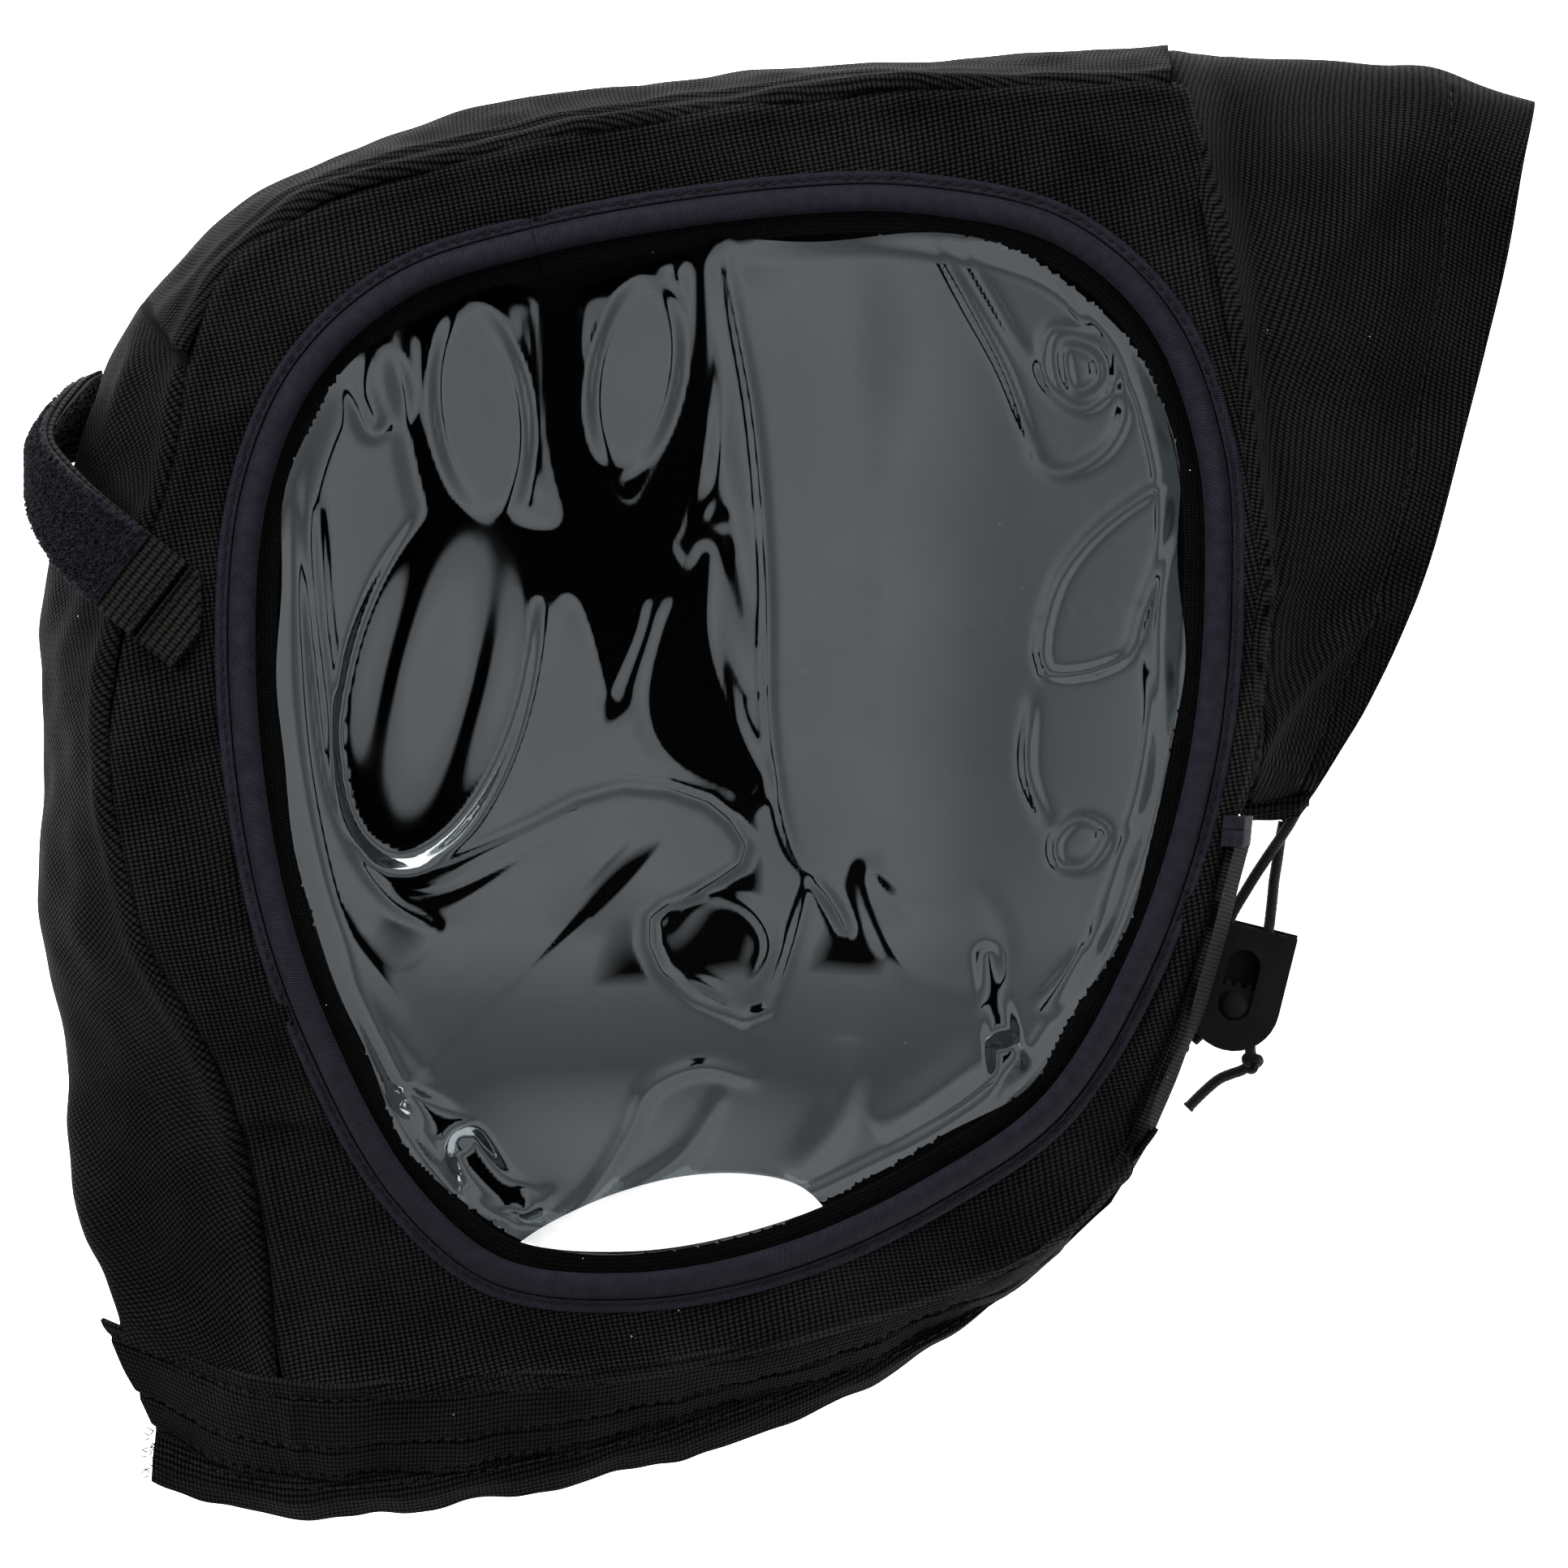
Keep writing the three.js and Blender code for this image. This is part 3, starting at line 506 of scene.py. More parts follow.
def webbing_look():
    """Ribbed webbing: stout ribs across, each made of two-over-two threads."""
    look = Look("webbing", Sheen_Weight=0.012, Specular_IOR_Level=0.05)
    spot, u, v = look.uv()
    ribs = look.math("ABSOLUTE", look.math("SINE", look.math("MULTIPLY", v, math.pi / WEB_RIB)))
    threads = plain_weave(look, look.math("DIVIDE", u, 0.95), look.math("DIVIDE", v, WEB_RIB))
    height = look.math("MULTIPLY_ADD", threads, 0.85, look.math("MULTIPLY", ribs, 0.15))
    fuzz = look.noise(spot, 0.3, 3.0)
    height = look.math("MULTIPLY_ADD", look.math("SUBTRACT", fuzz, 0.5), 0.2, height)
    # Colour from thread and rib height: painted shade in the gaps between threads and ribs, lighter thread tops, with
    # random fuzz in tone.
    tone_and_groove_shade = look.ramp(height, (0.4, (0.0003, 0.0003, 0.0003)), (1.0, (0.0088, 0.0086, 0.0078)))
    look.colour(look.lint(tone_and_groove_shade, look.specks(0.014, 0.00015)))
    look.roughness(fuzz, 0.6, 0.85)
    look.bump(height, 0.0005)
    return look.material


def fibre_look(name, low, high, rough=0.8, sheen=0.03):
    """Loose fibres: the colour changes from tuft to tuft."""
    look = Look(name, Sheen_Weight=sheen, Specular_IOR_Level=0.08)
    place = look.place()
    tuft = look.noise(place, 0.0012, 4.0)
    look.colour(look.ramp(tuft, (0.34, low), (0.8, high)))
    look.roughness(tuft, rough - 0.12, rough + 0.12)
    look.bump(look.noise(place, 0.0003, 2.0), 0.0001)
    return look.material


def plastic_look():
    """Matte moulded plastic with a fine spark-eroded grain and faint scuffs."""
    look = Look("lock_plastic", Specular_IOR_Level=0.22)
    place = look.place()
    grain = look.noise(place, 0.00022, 3.0)
    scuff = look.noise(place, 0.006, 5.0)
    both = look.math("MULTIPLY_ADD", scuff, 0.6, look.math("MULTIPLY", grain, 0.4))
    look.colour(look.lint(look.ramp(both, (0.3, 0.0022), (0.75, 0.0062)), look.specks(0.008, 0.00009)))
    look.roughness(both, 0.34, 0.6)
    look.bump(grain, 0.000035)
    return look.material


def thread_look():
    look = Look("sewing_thread", Sheen_Weight=0.02, Specular_IOR_Level=0.12)
    spot, u, v = look.uv()
    ply = look.math("SINE", look.math("MULTIPLY_ADD", v, math.tau / 0.5, look.math("MULTIPLY", u, 6.0)))
    # Colour from the ply wave: painted shade in the grooves between plies and lighter ply tops.
    look.colour(look.ramp(look.math("MULTIPLY_ADD", ply, 0.5, 0.5), (0.0, 0.0009), (1.0, 0.0075)))
    look.roughness(look.noise(spot, 0.4), 0.5, 0.75)
    look.bump(ply, 0.00004)
    return look.material


def cord_look():
    """Braided cord: crossing strands with a slight shine."""
    look = Look("cord", Sheen_Weight=0.03, Specular_IOR_Level=0.14)
    spot, u, v = look.uv()
    one = look.math("MULTIPLY_ADD", u, 1.25, look.math("MULTIPLY", v, 1.1))
    two = look.math("MULTIPLY_ADD", u, -1.25, look.math("MULTIPLY", v, 1.1))
    braid = plain_weave(look, one, two)
    # Colour from braid height: painted shade where strands dip under one another and lighter strand tops.
    tone_and_groove_shade = look.ramp(braid, (0.2, 0.0008), (0.6, 0.0036), (1.0, 0.0145))
    look.colour(tone_and_groove_shade)
    look.roughness(look.noise(spot, 0.5), 0.45, 0.7)
    look.bump(braid, 0.00016)
    return look.material


def vinyl_look(name, alpha, low, high, tone):
    """Clear sheet: what shines back from it, over what shows through it."""
    look = Look(name, Metallic=1.0, Alpha=alpha)
    place = look.place()
    haze = look.noise(place, 0.035, 2.0, 0.5)
    scratch = look.node("Mapping", {"Vector": place, "Scale": (30, 1400, 30), "Rotation": (0, 0, 0.12)})
    fine = look.noise(scratch.outputs[0], 1.0, 3.0)
    both = look.math("MULTIPLY_ADD", fine, 0.2, look.math("MULTIPLY", haze, 0.8))
    look.colour(look.ramp(haze, (0.3, tuple(c * 0.9 for c in tone)), (0.75, tone)))
    look.roughness(both, low, high)
    return look.material


# Shell cloth colours from the gaps between threads to the thread tops. The darker end is painted shade in the gaps, as
# in the other weave tones below.
SHELL = (0.0002, 0.0011, 0.0078)
# The sheet mirrors this share of the tent and lets the rest through.
VINYL_ALPHA = 0.3
LOOKS = {
    "shell": weave_look("shell_fabric", SHELL),
    "inside": weave_look("shell_inner_coating", (0.0006, 0.0012, 0.0022), relief=0.00005, sheen=0.0),
    "tape": tape_look(),
    "margin": weave_look("seam_allowance", (0.0005, 0.001, 0.0022), pitch=0.7, sheen=0.0, specks=0.0055),
    "webbing": webbing_look(),
    "pile": fibre_look("loop_pile", (0.0006, 0.0006, 0.0011), (0.0105, 0.0105, 0.0165)),
    "hook": fibre_look("hook_tape", (0.0006, 0.0006, 0.0007), (0.009, 0.009, 0.01), 0.45, 0.02),
    "cord": cord_look(),
    "thread": thread_look(),
    "plastic": plastic_look(),
    "vinyl": vinyl_look("clear_vinyl", VINYL_ALPHA, 0.008, 0.035, (0.79, 0.86, 0.9)),
    "vinyl_edge": vinyl_look("clear_vinyl_dull_edge", 0.02, 0.45, 0.7, (0.1, 0.1, 0.11)),
}


def finished(obj, slot, *looks, body="hood", replaces=()):
    """Gives a piece its materials and its body, and hides the imported nodes it stands for; slot is not used."""
    for look in looks:
        obj.data.materials.append(LOOKS[look])
    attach(obj, body)
    if replaces:
        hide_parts(*replaces)
    return obj


# ---- camera, then the free cords -----------------------------------------------------------
CAMERA_HEIGHT = 2.4
MID_HEIGHT = 0.028            # height at which the picture's width is measured
PICTURE_WIDTH = 0.342
SENSOR = 36


def place_camera():
    lens = bpy.data.cameras.new("camera")
    lens.sensor_width = SENSOR
    lens.lens = SENSOR * (CAMERA_HEIGHT - MID_HEIGHT) / PICTURE_WIDTH
    lens.clip_end = 10
    eye = bpy.data.objects.new("camera", lens)
    eye.location = (0, 0.0005, CAMERA_HEIGHT)
    bpy.context.scene.collection.objects.link(eye)
    bpy.context.scene.camera = eye


CORD_LEFT = [
    (0.1116, -0.0079, 0.0052), (0.11, -0.0104, 0.005), (0.1085, -0.0126, 0.0047), (0.107, -0.0148, 0.0043),
    (0.1055, -0.0171, 0.0039), (0.104, -0.0194, 0.0035), (0.1012, -0.024, 0.0032), (0.0997, -0.0265, 0.0032),
    (0.0984, -0.029, 0.0032), (0.0973, -0.033, 0.0032), (0.0964, -0.0372, 0.0032), (0.0951, -0.042, 0.0032),
    (0.0938, -0.0469, 0.0032), (0.0927, -0.0508, 0.0032), (0.0915, -0.0548, 0.003), (0.0902, -0.0562, 0.0027),
]
CORD_RIGHT = [
    (0.1102, -0.0078, 0.0019), (0.1098, -0.0099, 0.0019), (0.1094, -0.012, 0.002), (0.1091, -0.014, 0.0023),
    (0.1088, -0.016, 0.0026), (0.1084, -0.0185, 0.0029), (0.108, -0.021, 0.0032), (0.1075, -0.026, 0.0032),
    (0.1069, -0.031, 0.0032), (0.1062, -0.0352, 0.0032), (0.1054, -0.0395, 0.0032), (0.1046, -0.044, 0.0032),
    (0.1038, -0.0486, 0.0032), (0.1028, -0.0543, 0.0031), (0.1028, -0.0583, 0.0028),
]
CORD_TAIL = [
    (0.101, -0.0626, 0.0019), (0.0988, -0.0634, 0.0014), (0.096, -0.0646, 0.0013), (0.0924, -0.0676, 0.0013),
    (0.089, -0.071, 0.0013),
]
KNOT_LEFT = (0.0874, -0.0566, 0.0023)
KNOT_RIGHT = (0.1032, -0.0609, 0.0023)


def in_mm(points):
    return [tuple(c / MM for c in point) for point in points]


def braid(angle, run):
    """Relief of crossing strands on the cord's surface."""
    return 1 + 0.035 * np.cos(4 * angle + run * 2.6) * np.cos(4 * angle - run * 2.6)


def trefoil(centre, size, lean, steps=150):
    """The path of a small overhand knot."""
    t = np.linspace(0, math.tau, steps, endpoint=False)
    x = np.sin(t) + 2 * np.sin(2 * t)
    y = np.cos(t) - 2 * np.cos(2 * t)
    z = -np.sin(3 * t)
    path = np.stack([x * math.cos(lean) - y * math.sin(lean), x * math.sin(lean) + y * math.cos(lean), z], -1)
    return path * np.array([size / 6, size / 6, size / 4.6]) + np.array(in_mm([centre])[0])


def knot_object(name, centre, lean, node):
    path = trefoil(centre, 3.5, lean)
    path = np.vstack([path, path[:1]])
    obj = tube_object(name, path, 0.92, 14, braid)
    return finished(obj, "cord", "cord", replaces=[node])


def cord_length(points):
    return round(Curve(points).length(), 4)


def free_cords():
    left_knot = knot_object("cord_knot_left", KNOT_LEFT, 0.4, "drawcord_knot_left")
    right_knot = knot_object("cord_knot_right", KNOT_RIGHT, 1.9, "drawcord_knot_right")
    left = tube_object("cord_left", Curve(in_mm(CORD_LEFT)).even(230), CORD / 2, 24, braid)
    finished(left, "cord", "cord", replaces=["drawcord_left"])
    through = CORD_RIGHT + [KNOT_RIGHT] + CORD_TAIL
    path = Curve(in_mm(through)).even(320)
    flare = CORD / 2 * (1 + 0.16 * ease((np.linspace(0, 1, 320) - 0.985) / 0.015))
    right = tube_object("cord_right", path, flare, 24, braid)
    finished(right, "cord", "cord", replaces=["drawcord_right", "drawcord_tail"])
    cord_length(CORD_LEFT)
    (Curve(in_mm(CORD_LEFT)).even(60) * MM).tolist()
    cord_length(through)
    (Curve(in_mm(through)).even(90) * MM).tolist()


place_camera()
free_cords()


# ---- outlines of the shell, as in the CAD model --------------------------------------------
WIDEST_LEFT = Curve([
    (84, 161), (14, 158), (-47, 151), (-88, 142), (-116, 129), (-134, 112), (-148, 92),
    (-156, 69), (-162, 35), (-163, 5), (-162, -30), (-158, -62), (-154, -92), (-147.5, -117),
])
SEAM_LEFT = Curve([
    (84, 154), (20, 151), (-40, 143.5), (-78, 134), (-106, 124), (-122, 112), (-129, 95),
    (-133, 70), (-143, 37), (-147, 8), (-140, -30), (-122, -65), (-114, -95), (-111, -129),
])
FLOOR_LEFT = Curve([
    (84, 152), (14, 149), (-44, 142), (-83, 133), (-108, 120), (-124, 104), (-136, 87),
    (-144, 66), (-151, 34), (-153, 5), (-152, -29), (-148, -60), (-144, -90), (-138, -115),
])
WIDEST_RIGHT = Curve([(101, -11), (98, -22), (95, -34), (89, -53), (83, -67), (79, -77)])
SEAM_RIGHT = Curve([(97, -11), (94, -22), (91, -34), (85, -53), (79, -66), (75, -76)])
FLOOR_RIGHT = Curve([(92, -12), (87, -24), (82, -36), (76, -53), (72, -64), (68, -75)])
HEM_TOP = Curve([
    (-111, -130), (-85, -131), (-60, -129.5), (-25, -125.5), (14, -115.5), (40, -106.5), (60, -96), (76, -80),
])
SLEEVE_SEAM = Curve([(98, -3), (102, 21), (104, 48), (103, 61), (98, 100), (91, 132), (84, 154)])
WINDOW_EDGE = Curve([
    (-55, 123.5), (-2, 132), (30, 132.5), (63, 125), (86, 105), (98, 75), (100, 40), (96, 2), (84, -37),
    (63, -73), (37, -92), (3, -108), (-33, -115), (-65, -111), (-87, -92), (-105, -59), (-117, -23),
    (-123, 25), (-120, 65), (-108, 93), (-86, 113),
], True)
NECK_ARCH = Curve([
    (-84, -153), (-76, -124), (-61, -103), (-45, -93), (-25, -86.5), (-8, -85.5), (4, -88.5), (10.5, -96), (18, -126),
])
PANEL_MIDDLE = (-10, 15)


# ---- gussets -------------------------------------------------------------------------------
def smooth_across(controls, shares):
    """Smooth cross-sections through the control points of each row."""
    steps = np.linalg.norm(np.diff(controls, axis=1), axis=-1).mean(axis=0)
    knots = np.concatenate([[0], np.cumsum(steps)]) / steps.sum()
    slope = np.gradient(controls, knots, axis=1)
    index = np.clip(np.searchsorted(knots, shares, side="right") - 1, 0, len(knots) - 2)
    width = (knots[index + 1] - knots[index])[None, :, None]
    w = ((shares - knots[index]) / (knots[index + 1] - knots[index]))[None, :, None]
    a, b = controls[:, index], controls[:, index + 1]
    sa, sb = slope[:, index] * width, slope[:, index + 1] * width
    return (
        a * (2 * w**3 - 3 * w**2 + 1) + sa * (w**3 - 2 * w**2 + w)
        + b * (3 * w**2 - 2 * w**3) + sb * (w**3 - w**2)
    )


SEAM_FOOT = 0.3                # the gussets reach down past the back panel's upper face


def gusset_grid(floor, widest, seam, rows, columns):
    t = np.linspace(0, 1, rows)
    low, wide, high = floor.at(t), widest.at(t), seam.at(t)
    top = face_height(high[:, 0], high[:, 1])
    middle = np.minimum(WIDEST_HEIGHT, top * 0.55)
    under = mix(low, wide, 0.62)
    shoulder = mix(wide, high, 0.4)
    low[:, 2], under[:, 2] = LEDGE, mix(LEDGE, middle, 0.36)
    wide[:, 2], shoulder[:, 2], high[:, 2] = middle, mix(middle, top, 0.62), top
    return smooth_across(np.stack([low, under, wide, shoulder, high], 1), np.linspace(0, 1, columns))


# The cheek's weave changes direction at a sharp fold just above the strap.
FOLD = (-140.0, 106.0)
FOLD_RUN = (0.579, -0.815)


def beyond_fold(x, y):
    """Signed distance from the fold, positive on the crown's side."""
    return FOLD_RUN[0] * (y - FOLD[1]) - FOLD_RUN[1] * (x - FOLD[0])


def seam_roll(distance, size=1.0):
    """Height of cloth that turns into a seam: a soft roll, then the stitched groove."""
    return size * (0.9 * np.exp(-(((distance - 3.2) / 2.2) ** 2)) - 1.9 * np.exp(-((distance / 0.95) ** 2)))


def cheek_relief(x, y, along, distance):
    past = beyond_fold(x, y)
    near = np.exp(-np.abs(past) / 6.0) * ease((18 - distance) / 14 + 0.35)
    height = 1.9 * np.tanh(past / 0.6) * near
    height += seam_roll(distance)
    second = np.exp(-(((along - 150) / 70) ** 2))
    height += second * (0.55 * np.exp(-(((distance - 10.5) / 1.6) ** 2)) - 0.5 * np.exp(-(((distance - 8) / 0.8) ** 2)))
    height += 0.09 * np.sin(along * math.tau / 9.5 + 2 * waves(along, distance, 60, 3)) * np.exp(-distance / 4)
    height += 0.8 * waves(along, distance, 46, 4) + 0.26 * waves(along, distance, 17, 5)
    height += ridge(x, y, [(-138.5, 105.5), (-140.5, 97), (-143, 88), (-149, 74)], 2.2, 1.5)
    height += ridge(x, y, [(-152, 40), (-150, 12), (-147, -12)], 6, 0.9)
    height += tuck(x, y, [(-151, -64), (-138, -66), (-122, -71)], 7, 0.7, 1.6)
    height += ridge(x, y, [(-157, -20), (-146, -38), (-133, -50)], 5, 0.8)
    height += ridge(x, y, [(-150, -95), (-134, -88), (-118, -80)], 4.5, -0.8)
    height += ridge(x, y, [(-158, 60), (-152, 52), (-141, 47)], 4, -0.8)
    return height


def left_gusset():
    grid = gusset_grid(FLOOR_LEFT, WIDEST_LEFT, SEAM_LEFT, 580, 50)
    grid[:, 0, 2] = SEAM_FOOT
    under_hem = np.arange(1, 8)[:, None, None] * np.array([0.1, -0.75, -0.22])
    grid = np.vstack([grid, grid[-1:] + under_hem])
    uv = arc_uv(grid)
    x, y = grid[..., 0], grid[..., 1]
    distance = -uv[..., 0]
    height = cheek_relief(x, y, uv[..., 1], distance) * ease((grid[..., 2] - LEDGE) / 6)
    lifted = grid + upward(grid) * height[..., None]
    crown = (1 + np.tanh(beyond_fold(x, y) / 0.5))[..., None] / 2
    warp = 1.2 * waves(uv[..., 0], uv[..., 1], 40, 8)[..., None]
    uv = mix(turned(uv, 31), turned(uv, -9), crown) + warp
    obj = sheet_object("gusset_left", lifted, uv, CLOTH)
    return finished(obj, "shell_fabric", "shell", replaces=["crown_gusset", "cheek_gusset"])


def right_gusset():
    grid = gusset_grid(FLOOR_RIGHT, WIDEST_RIGHT, SEAM_RIGHT, 120, 34)
    grid[:, 0, 2] = SEAM_FOOT
    under_hem = np.arange(1, 9)[:, None, None] * np.array([-0.45, -0.75, -0.12])
    grid = np.vstack([grid, grid[-1:] + under_hem])
    uv = arc_uv(grid)
    height = seam_roll(-uv[..., 0], 0.6) + 0.25 * waves(uv[..., 0], uv[..., 1], 16, 11)
    height *= ease((grid[..., 2] - LEDGE) / 6)
    # the lock slides past the upper part, which stays as flat as the panel behind it
    height *= ease((-40 - grid[..., 1]) / 14)
    obj = sheet_object("gusset_right", grid + upward(grid) * height[..., None], turned(uv, 4), CLOTH)
    return finished(obj, "shell_fabric", "shell", replaces=["side_gusset"])


# ---- front and back panels -----------------------------------------------------------------
def window_share(points):
    """Places on the window's edge in the same directions from its middle as the points."""
    shares = np.linspace(0, 1, 6000, endpoint=False)
    spots = WINDOW_EDGE.at(shares)
    angles = np.arctan2(spots[:, 1] - PANEL_MIDDLE[1], spots[:, 0] - PANEL_MIDDLE[0])
    order = np.argsort(angles)
    wanted = np.arctan2(points[:, 1] - PANEL_MIDDLE[1], points[:, 0] - PANEL_MIDDLE[0])
    place = np.searchsorted(angles[order], wanted) % len(order)
    return shares[order][place]


def panel_relief(x, y, from_seam, to_window):
    height = -2.1 * np.exp(-((from_seam / 1.1) ** 2)) + 0.5 * np.exp(-(((from_seam - 3.5) / 2) ** 2))
    height += 0.7 * np.exp(-(((to_window - 7) / 4.5) ** 2)) - 0.6 * np.exp(-to_window / 1.5)
    height += 0.7 * waves(x, y, 42, 21) + 0.2 * waves(x, y, 13, 22)
    height += tuck(x, y, [(-119, -73.6), (-108, -73.4), (-95, -75)], 6, 1.9, 0.5)
    height += ridge(x, y, [(-132, 74), (-123, 79), (-113, 84)], 2.4, 0.55)
    height += ridge(x, y, [(-137, 30), (-132, 6), (-127, -18)], 5, -0.7)
    height += ridge(x, y, [(-112, -78), (-112, -100), (-110, -126)], 1.6, 0.55)
    height += ridge(x, y, [(-100, -84), (-84, -106), (-66, -121)], 5, 0.7)
    height += ridge(x, y, [(-60, -123), (-20, -121), (20, -108), (52, -92)], 2.6, 0.5)
    return height


def panel_outer():
    def spots(curve, first, last, count, inwards):
        return curve.inset(np.linspace(first, last, count), np.full(count, inwards))

    parts = [
        spots(SEAM_LEFT, 0.004, 0.985, 60, 0.5), spots(HEM_TOP, 0.02, 0.98, 30, -3.2),
        spots(SEAM_RIGHT, 0.94, 0, 12, -0.4), spots(SLEEVE_SEAM, 0.02, 0.975, 24, -2.6),
    ]
    return Curve(np.vstack(parts)[:, :2].tolist(), True)


def front_panel():
    rows, columns = 760, 34
    outer = panel_outer().even(rows)
    inner = WINDOW_EDGE.inset(window_share(outer), np.full(rows, -4.0))
    share = np.linspace(0, 1, columns)
    grid = mix(outer[:, None], inner[:, None], share[None, :, None])
    x, y = grid[..., 0], grid[..., 1]
    width = np.linalg.norm(outer - inner, axis=1)[:, None]
    z = face_height(x, y) + panel_relief(x, y, share * width, (1 - share) * width)
    grid = np.stack([x, y, z], -1)
    uv = turned(grid[..., :2], -12) + 1.1 * waves(x, y, 55, 23)[..., None]
    obj = sheet_object("front_panel_cloth", grid, uv, CLOTH, closed=True, straight=True)
    return finished(obj, "shell_fabric", "shell", replaces=["front_panel"])


def filled_sheet(name, outline, heights, thickness, step, uv_turn=0):
    """A flat sheet of any outline, filled with an even grid so that it can be uneven."""
    outline = np.asarray(outline, float)[:, :2]
    curve_data = bpy.data.meshes.new("outline")
    count = len(outline)
    curve_data.from_pydata([(*p, 0) for p in outline.tolist()], [], [list(range(count))])
    import bmesh

    work = bmesh.new()
    work.from_mesh(curve_data)
    bpy.data.meshes.remove(curve_data)
    low, high = outline.min(0), outline.max(0)
    for axis in (0, 1):
        normal = (1, 0, 0) if axis == 0 else (0, 1, 0)
        for place in np.arange(low[axis] + step, high[axis], step):
            spot = (place, 0, 0) if axis == 0 else (0, place, 0)
            everything = work.verts[:] + work.edges[:] + work.faces[:]
            bmesh.ops.bisect_plane(work, geom=everything, plane_co=spot, plane_no=normal)
    flat = np.array([v.co[:2] for v in work.verts])
    sides = [[v.index for v in f.verts] for f in work.faces]
    border = [[v.index for v in e.verts] for e in work.edges if len(e.link_faces) == 1]
    work.free()
    z = heights(flat[:, 0], flat[:, 1])
    top = np.column_stack([flat, z])
    bottom = np.column_stack([flat, z - thickness])
    n = len(flat)
    faces = sides + [[v + n for v in reversed(f)] for f in sides]
    faces += [[a, b, b + n, a + n] for a, b in border]
    uv = turned(np.vstack([flat, flat]), uv_turn)
    obj = mesh_object(name, np.vstack([top, bottom]), faces, uv)
    tidy = bmesh.new()
    tidy.from_mesh(obj.data)
    bmesh.ops.recalc_face_normals(tidy, faces=tidy.faces)
    tidy.to_mesh(obj.data)
    tidy.free()
    return obj


def back_panel():
    t = np.linspace(0, 1, 90)
    outline = np.vstack([
        FLOOR_LEFT.at(t)[:, :2], Curve([(-132, -142), (-120, -152), (-100, -154.5)]).at(np.linspace(0, 1, 8))[:, :2],
        NECK_ARCH.at(t)[:, :2], [(40, -112), (58, -95)], FLOOR_RIGHT.at(t[::-3])[:, :2],
        Curve([(96, 0), (101, 30), (102.5, 55), (97.5, 100), (90.5, 132)]).at(np.linspace(0, 1, 16))[:, :2],
    ])
    obj = filled_sheet("back_panel_cloth", outline, lambda x, y: CLOTH + 0 * x, CLOTH, 6)
    return finished(obj, "shell_fabric", "inside", replaces=["back_panel"])


def arch_hem():
    t = np.linspace(0.1, 0.9, 160)
    shares = np.linspace(0, 1, 9)
    grid = np.stack([NECK_ARCH.inset(t, np.full(160, mix(0.4, 3.6, s))) for s in shares], 1)
    edge = np.sin(np.pi * shares)[None, :]
    grid[..., 2] = CLOTH + 0.35 + FACING * (0.62 + 0.38 * edge) + 0.06 * waves(grid[..., 0], grid[..., 1], 7, 31)
    obj = sheet_object("neck_arch_turned_hem", grid, arc_uv(grid), FACING * 0.6, straight=True)
    return finished(obj, "shell_fabric", "inside", replaces=["neck_arch_hem"])


left_gusset()
right_gusset()
front_panel()
back_panel()
arch_hem()


# ---- window --------------------------------------------------------------------------------
def window_ring(name, profile, steps, relief=None):
    """A closed ring along the window's edge; profile lists (distance inwards, height)."""
    t = np.linspace(0, 1, steps, endpoint=False)
    profile = np.asarray(profile, float)
    rows = [WINDOW_EDGE.inset(t, np.full(steps, -inward)) for inward, _ in profile]
    grid = np.stack(rows, 1)
    base = face_height(grid[..., 0], grid[..., 1])
    along = np.concatenate([[0], np.cumsum(np.linalg.norm(np.diff(WINDOW_EDGE.at(t), axis=0), axis=1))])[:, None]
    rise = np.broadcast_to(profile[None, :, 1], base.shape)
    extra = relief(grid[..., 0], grid[..., 1], along, profile[None, :, 0], rise) if relief else 0
    grid[..., 2] = base + rise + extra
    count = len(profile)
    i, j = np.arange(steps)[:, None], np.arange(count)[None, :]
    a, b = i * count + j, i * count + (j + 1) % count
    c, d = ((i + 1) % steps) * count + (j + 1) % count, ((i + 1) % steps) * count + j
    faces = np.stack([a, b, c, d], -1).reshape(-1, 4)
    vertices = grid.reshape(-1, 3)
    if volume(vertices, faces) < 0:
        faces = faces[:, ::-1]
    around = np.concatenate([[0], np.cumsum(np.hypot(*np.diff(profile, axis=0).T))])
    uv = np.stack(np.broadcast_arrays(around[None, :], along), -1).reshape(-1, 2)
    return mesh_object(name, vertices, faces, uv)


def binding_relief(x, y, along, inward, rise):
    """The binding is eased round the bends, so it puckers a little, and its ends overlap."""
    lift = np.clip(rise / ROLL_HEIGHT, 0, 1)
    pucker = 0.10 * np.sin(along * math.tau / 2.3 + 1.5 * waves(x, y, 25, 41)) * np.exp(-(inward - 3) / 1.6)
    slack = 0.28 * waves(x, y, 30, 42) + 0.10 * waves(x, y, 8, 43)
    joint = tuck(x, y, [(61.5, 115), (57, 122.5), (52.5, 131)], 5, 0.42, 0.25)
    worn = 0.5 * np.exp(-(((x - 30) ** 2 + (y + 94) ** 2) / 14))
    return lift * (pucker + slack + joint + worn)


def window_binding():
    half = (ROLL_IN - FLANGE - 0.35) / 2
    angle = np.linspace(0, math.pi, 19)
    centre = ROLL_IN - half
    profile = np.column_stack([centre - half * np.cos(angle), 0.35 + (ROLL_HEIGHT - 0.35) * np.sin(angle) ** 0.85])
    obj = window_ring("window_binding_roll", profile, 1500, binding_relief)
    return finished(obj, "binding_tape", "tape", replaces=["window_binding"])


def flange_relief(x, y, along, inward, rise):
    top = (rise > 1).astype(float)
    groove = -0.38 * np.exp(-(((inward - 1.75) / 0.34) ** 2))
    dimples = 1 - 0.45 * np.cos(along * math.tau / STITCH_PITCH)
    wavy = 0.16 * waves(x, y, 11, 44) + 0.12 * waves(x, y, 4, 45) * np.exp(-inward / 0.7)
    return top * (groove * dimples + wavy)


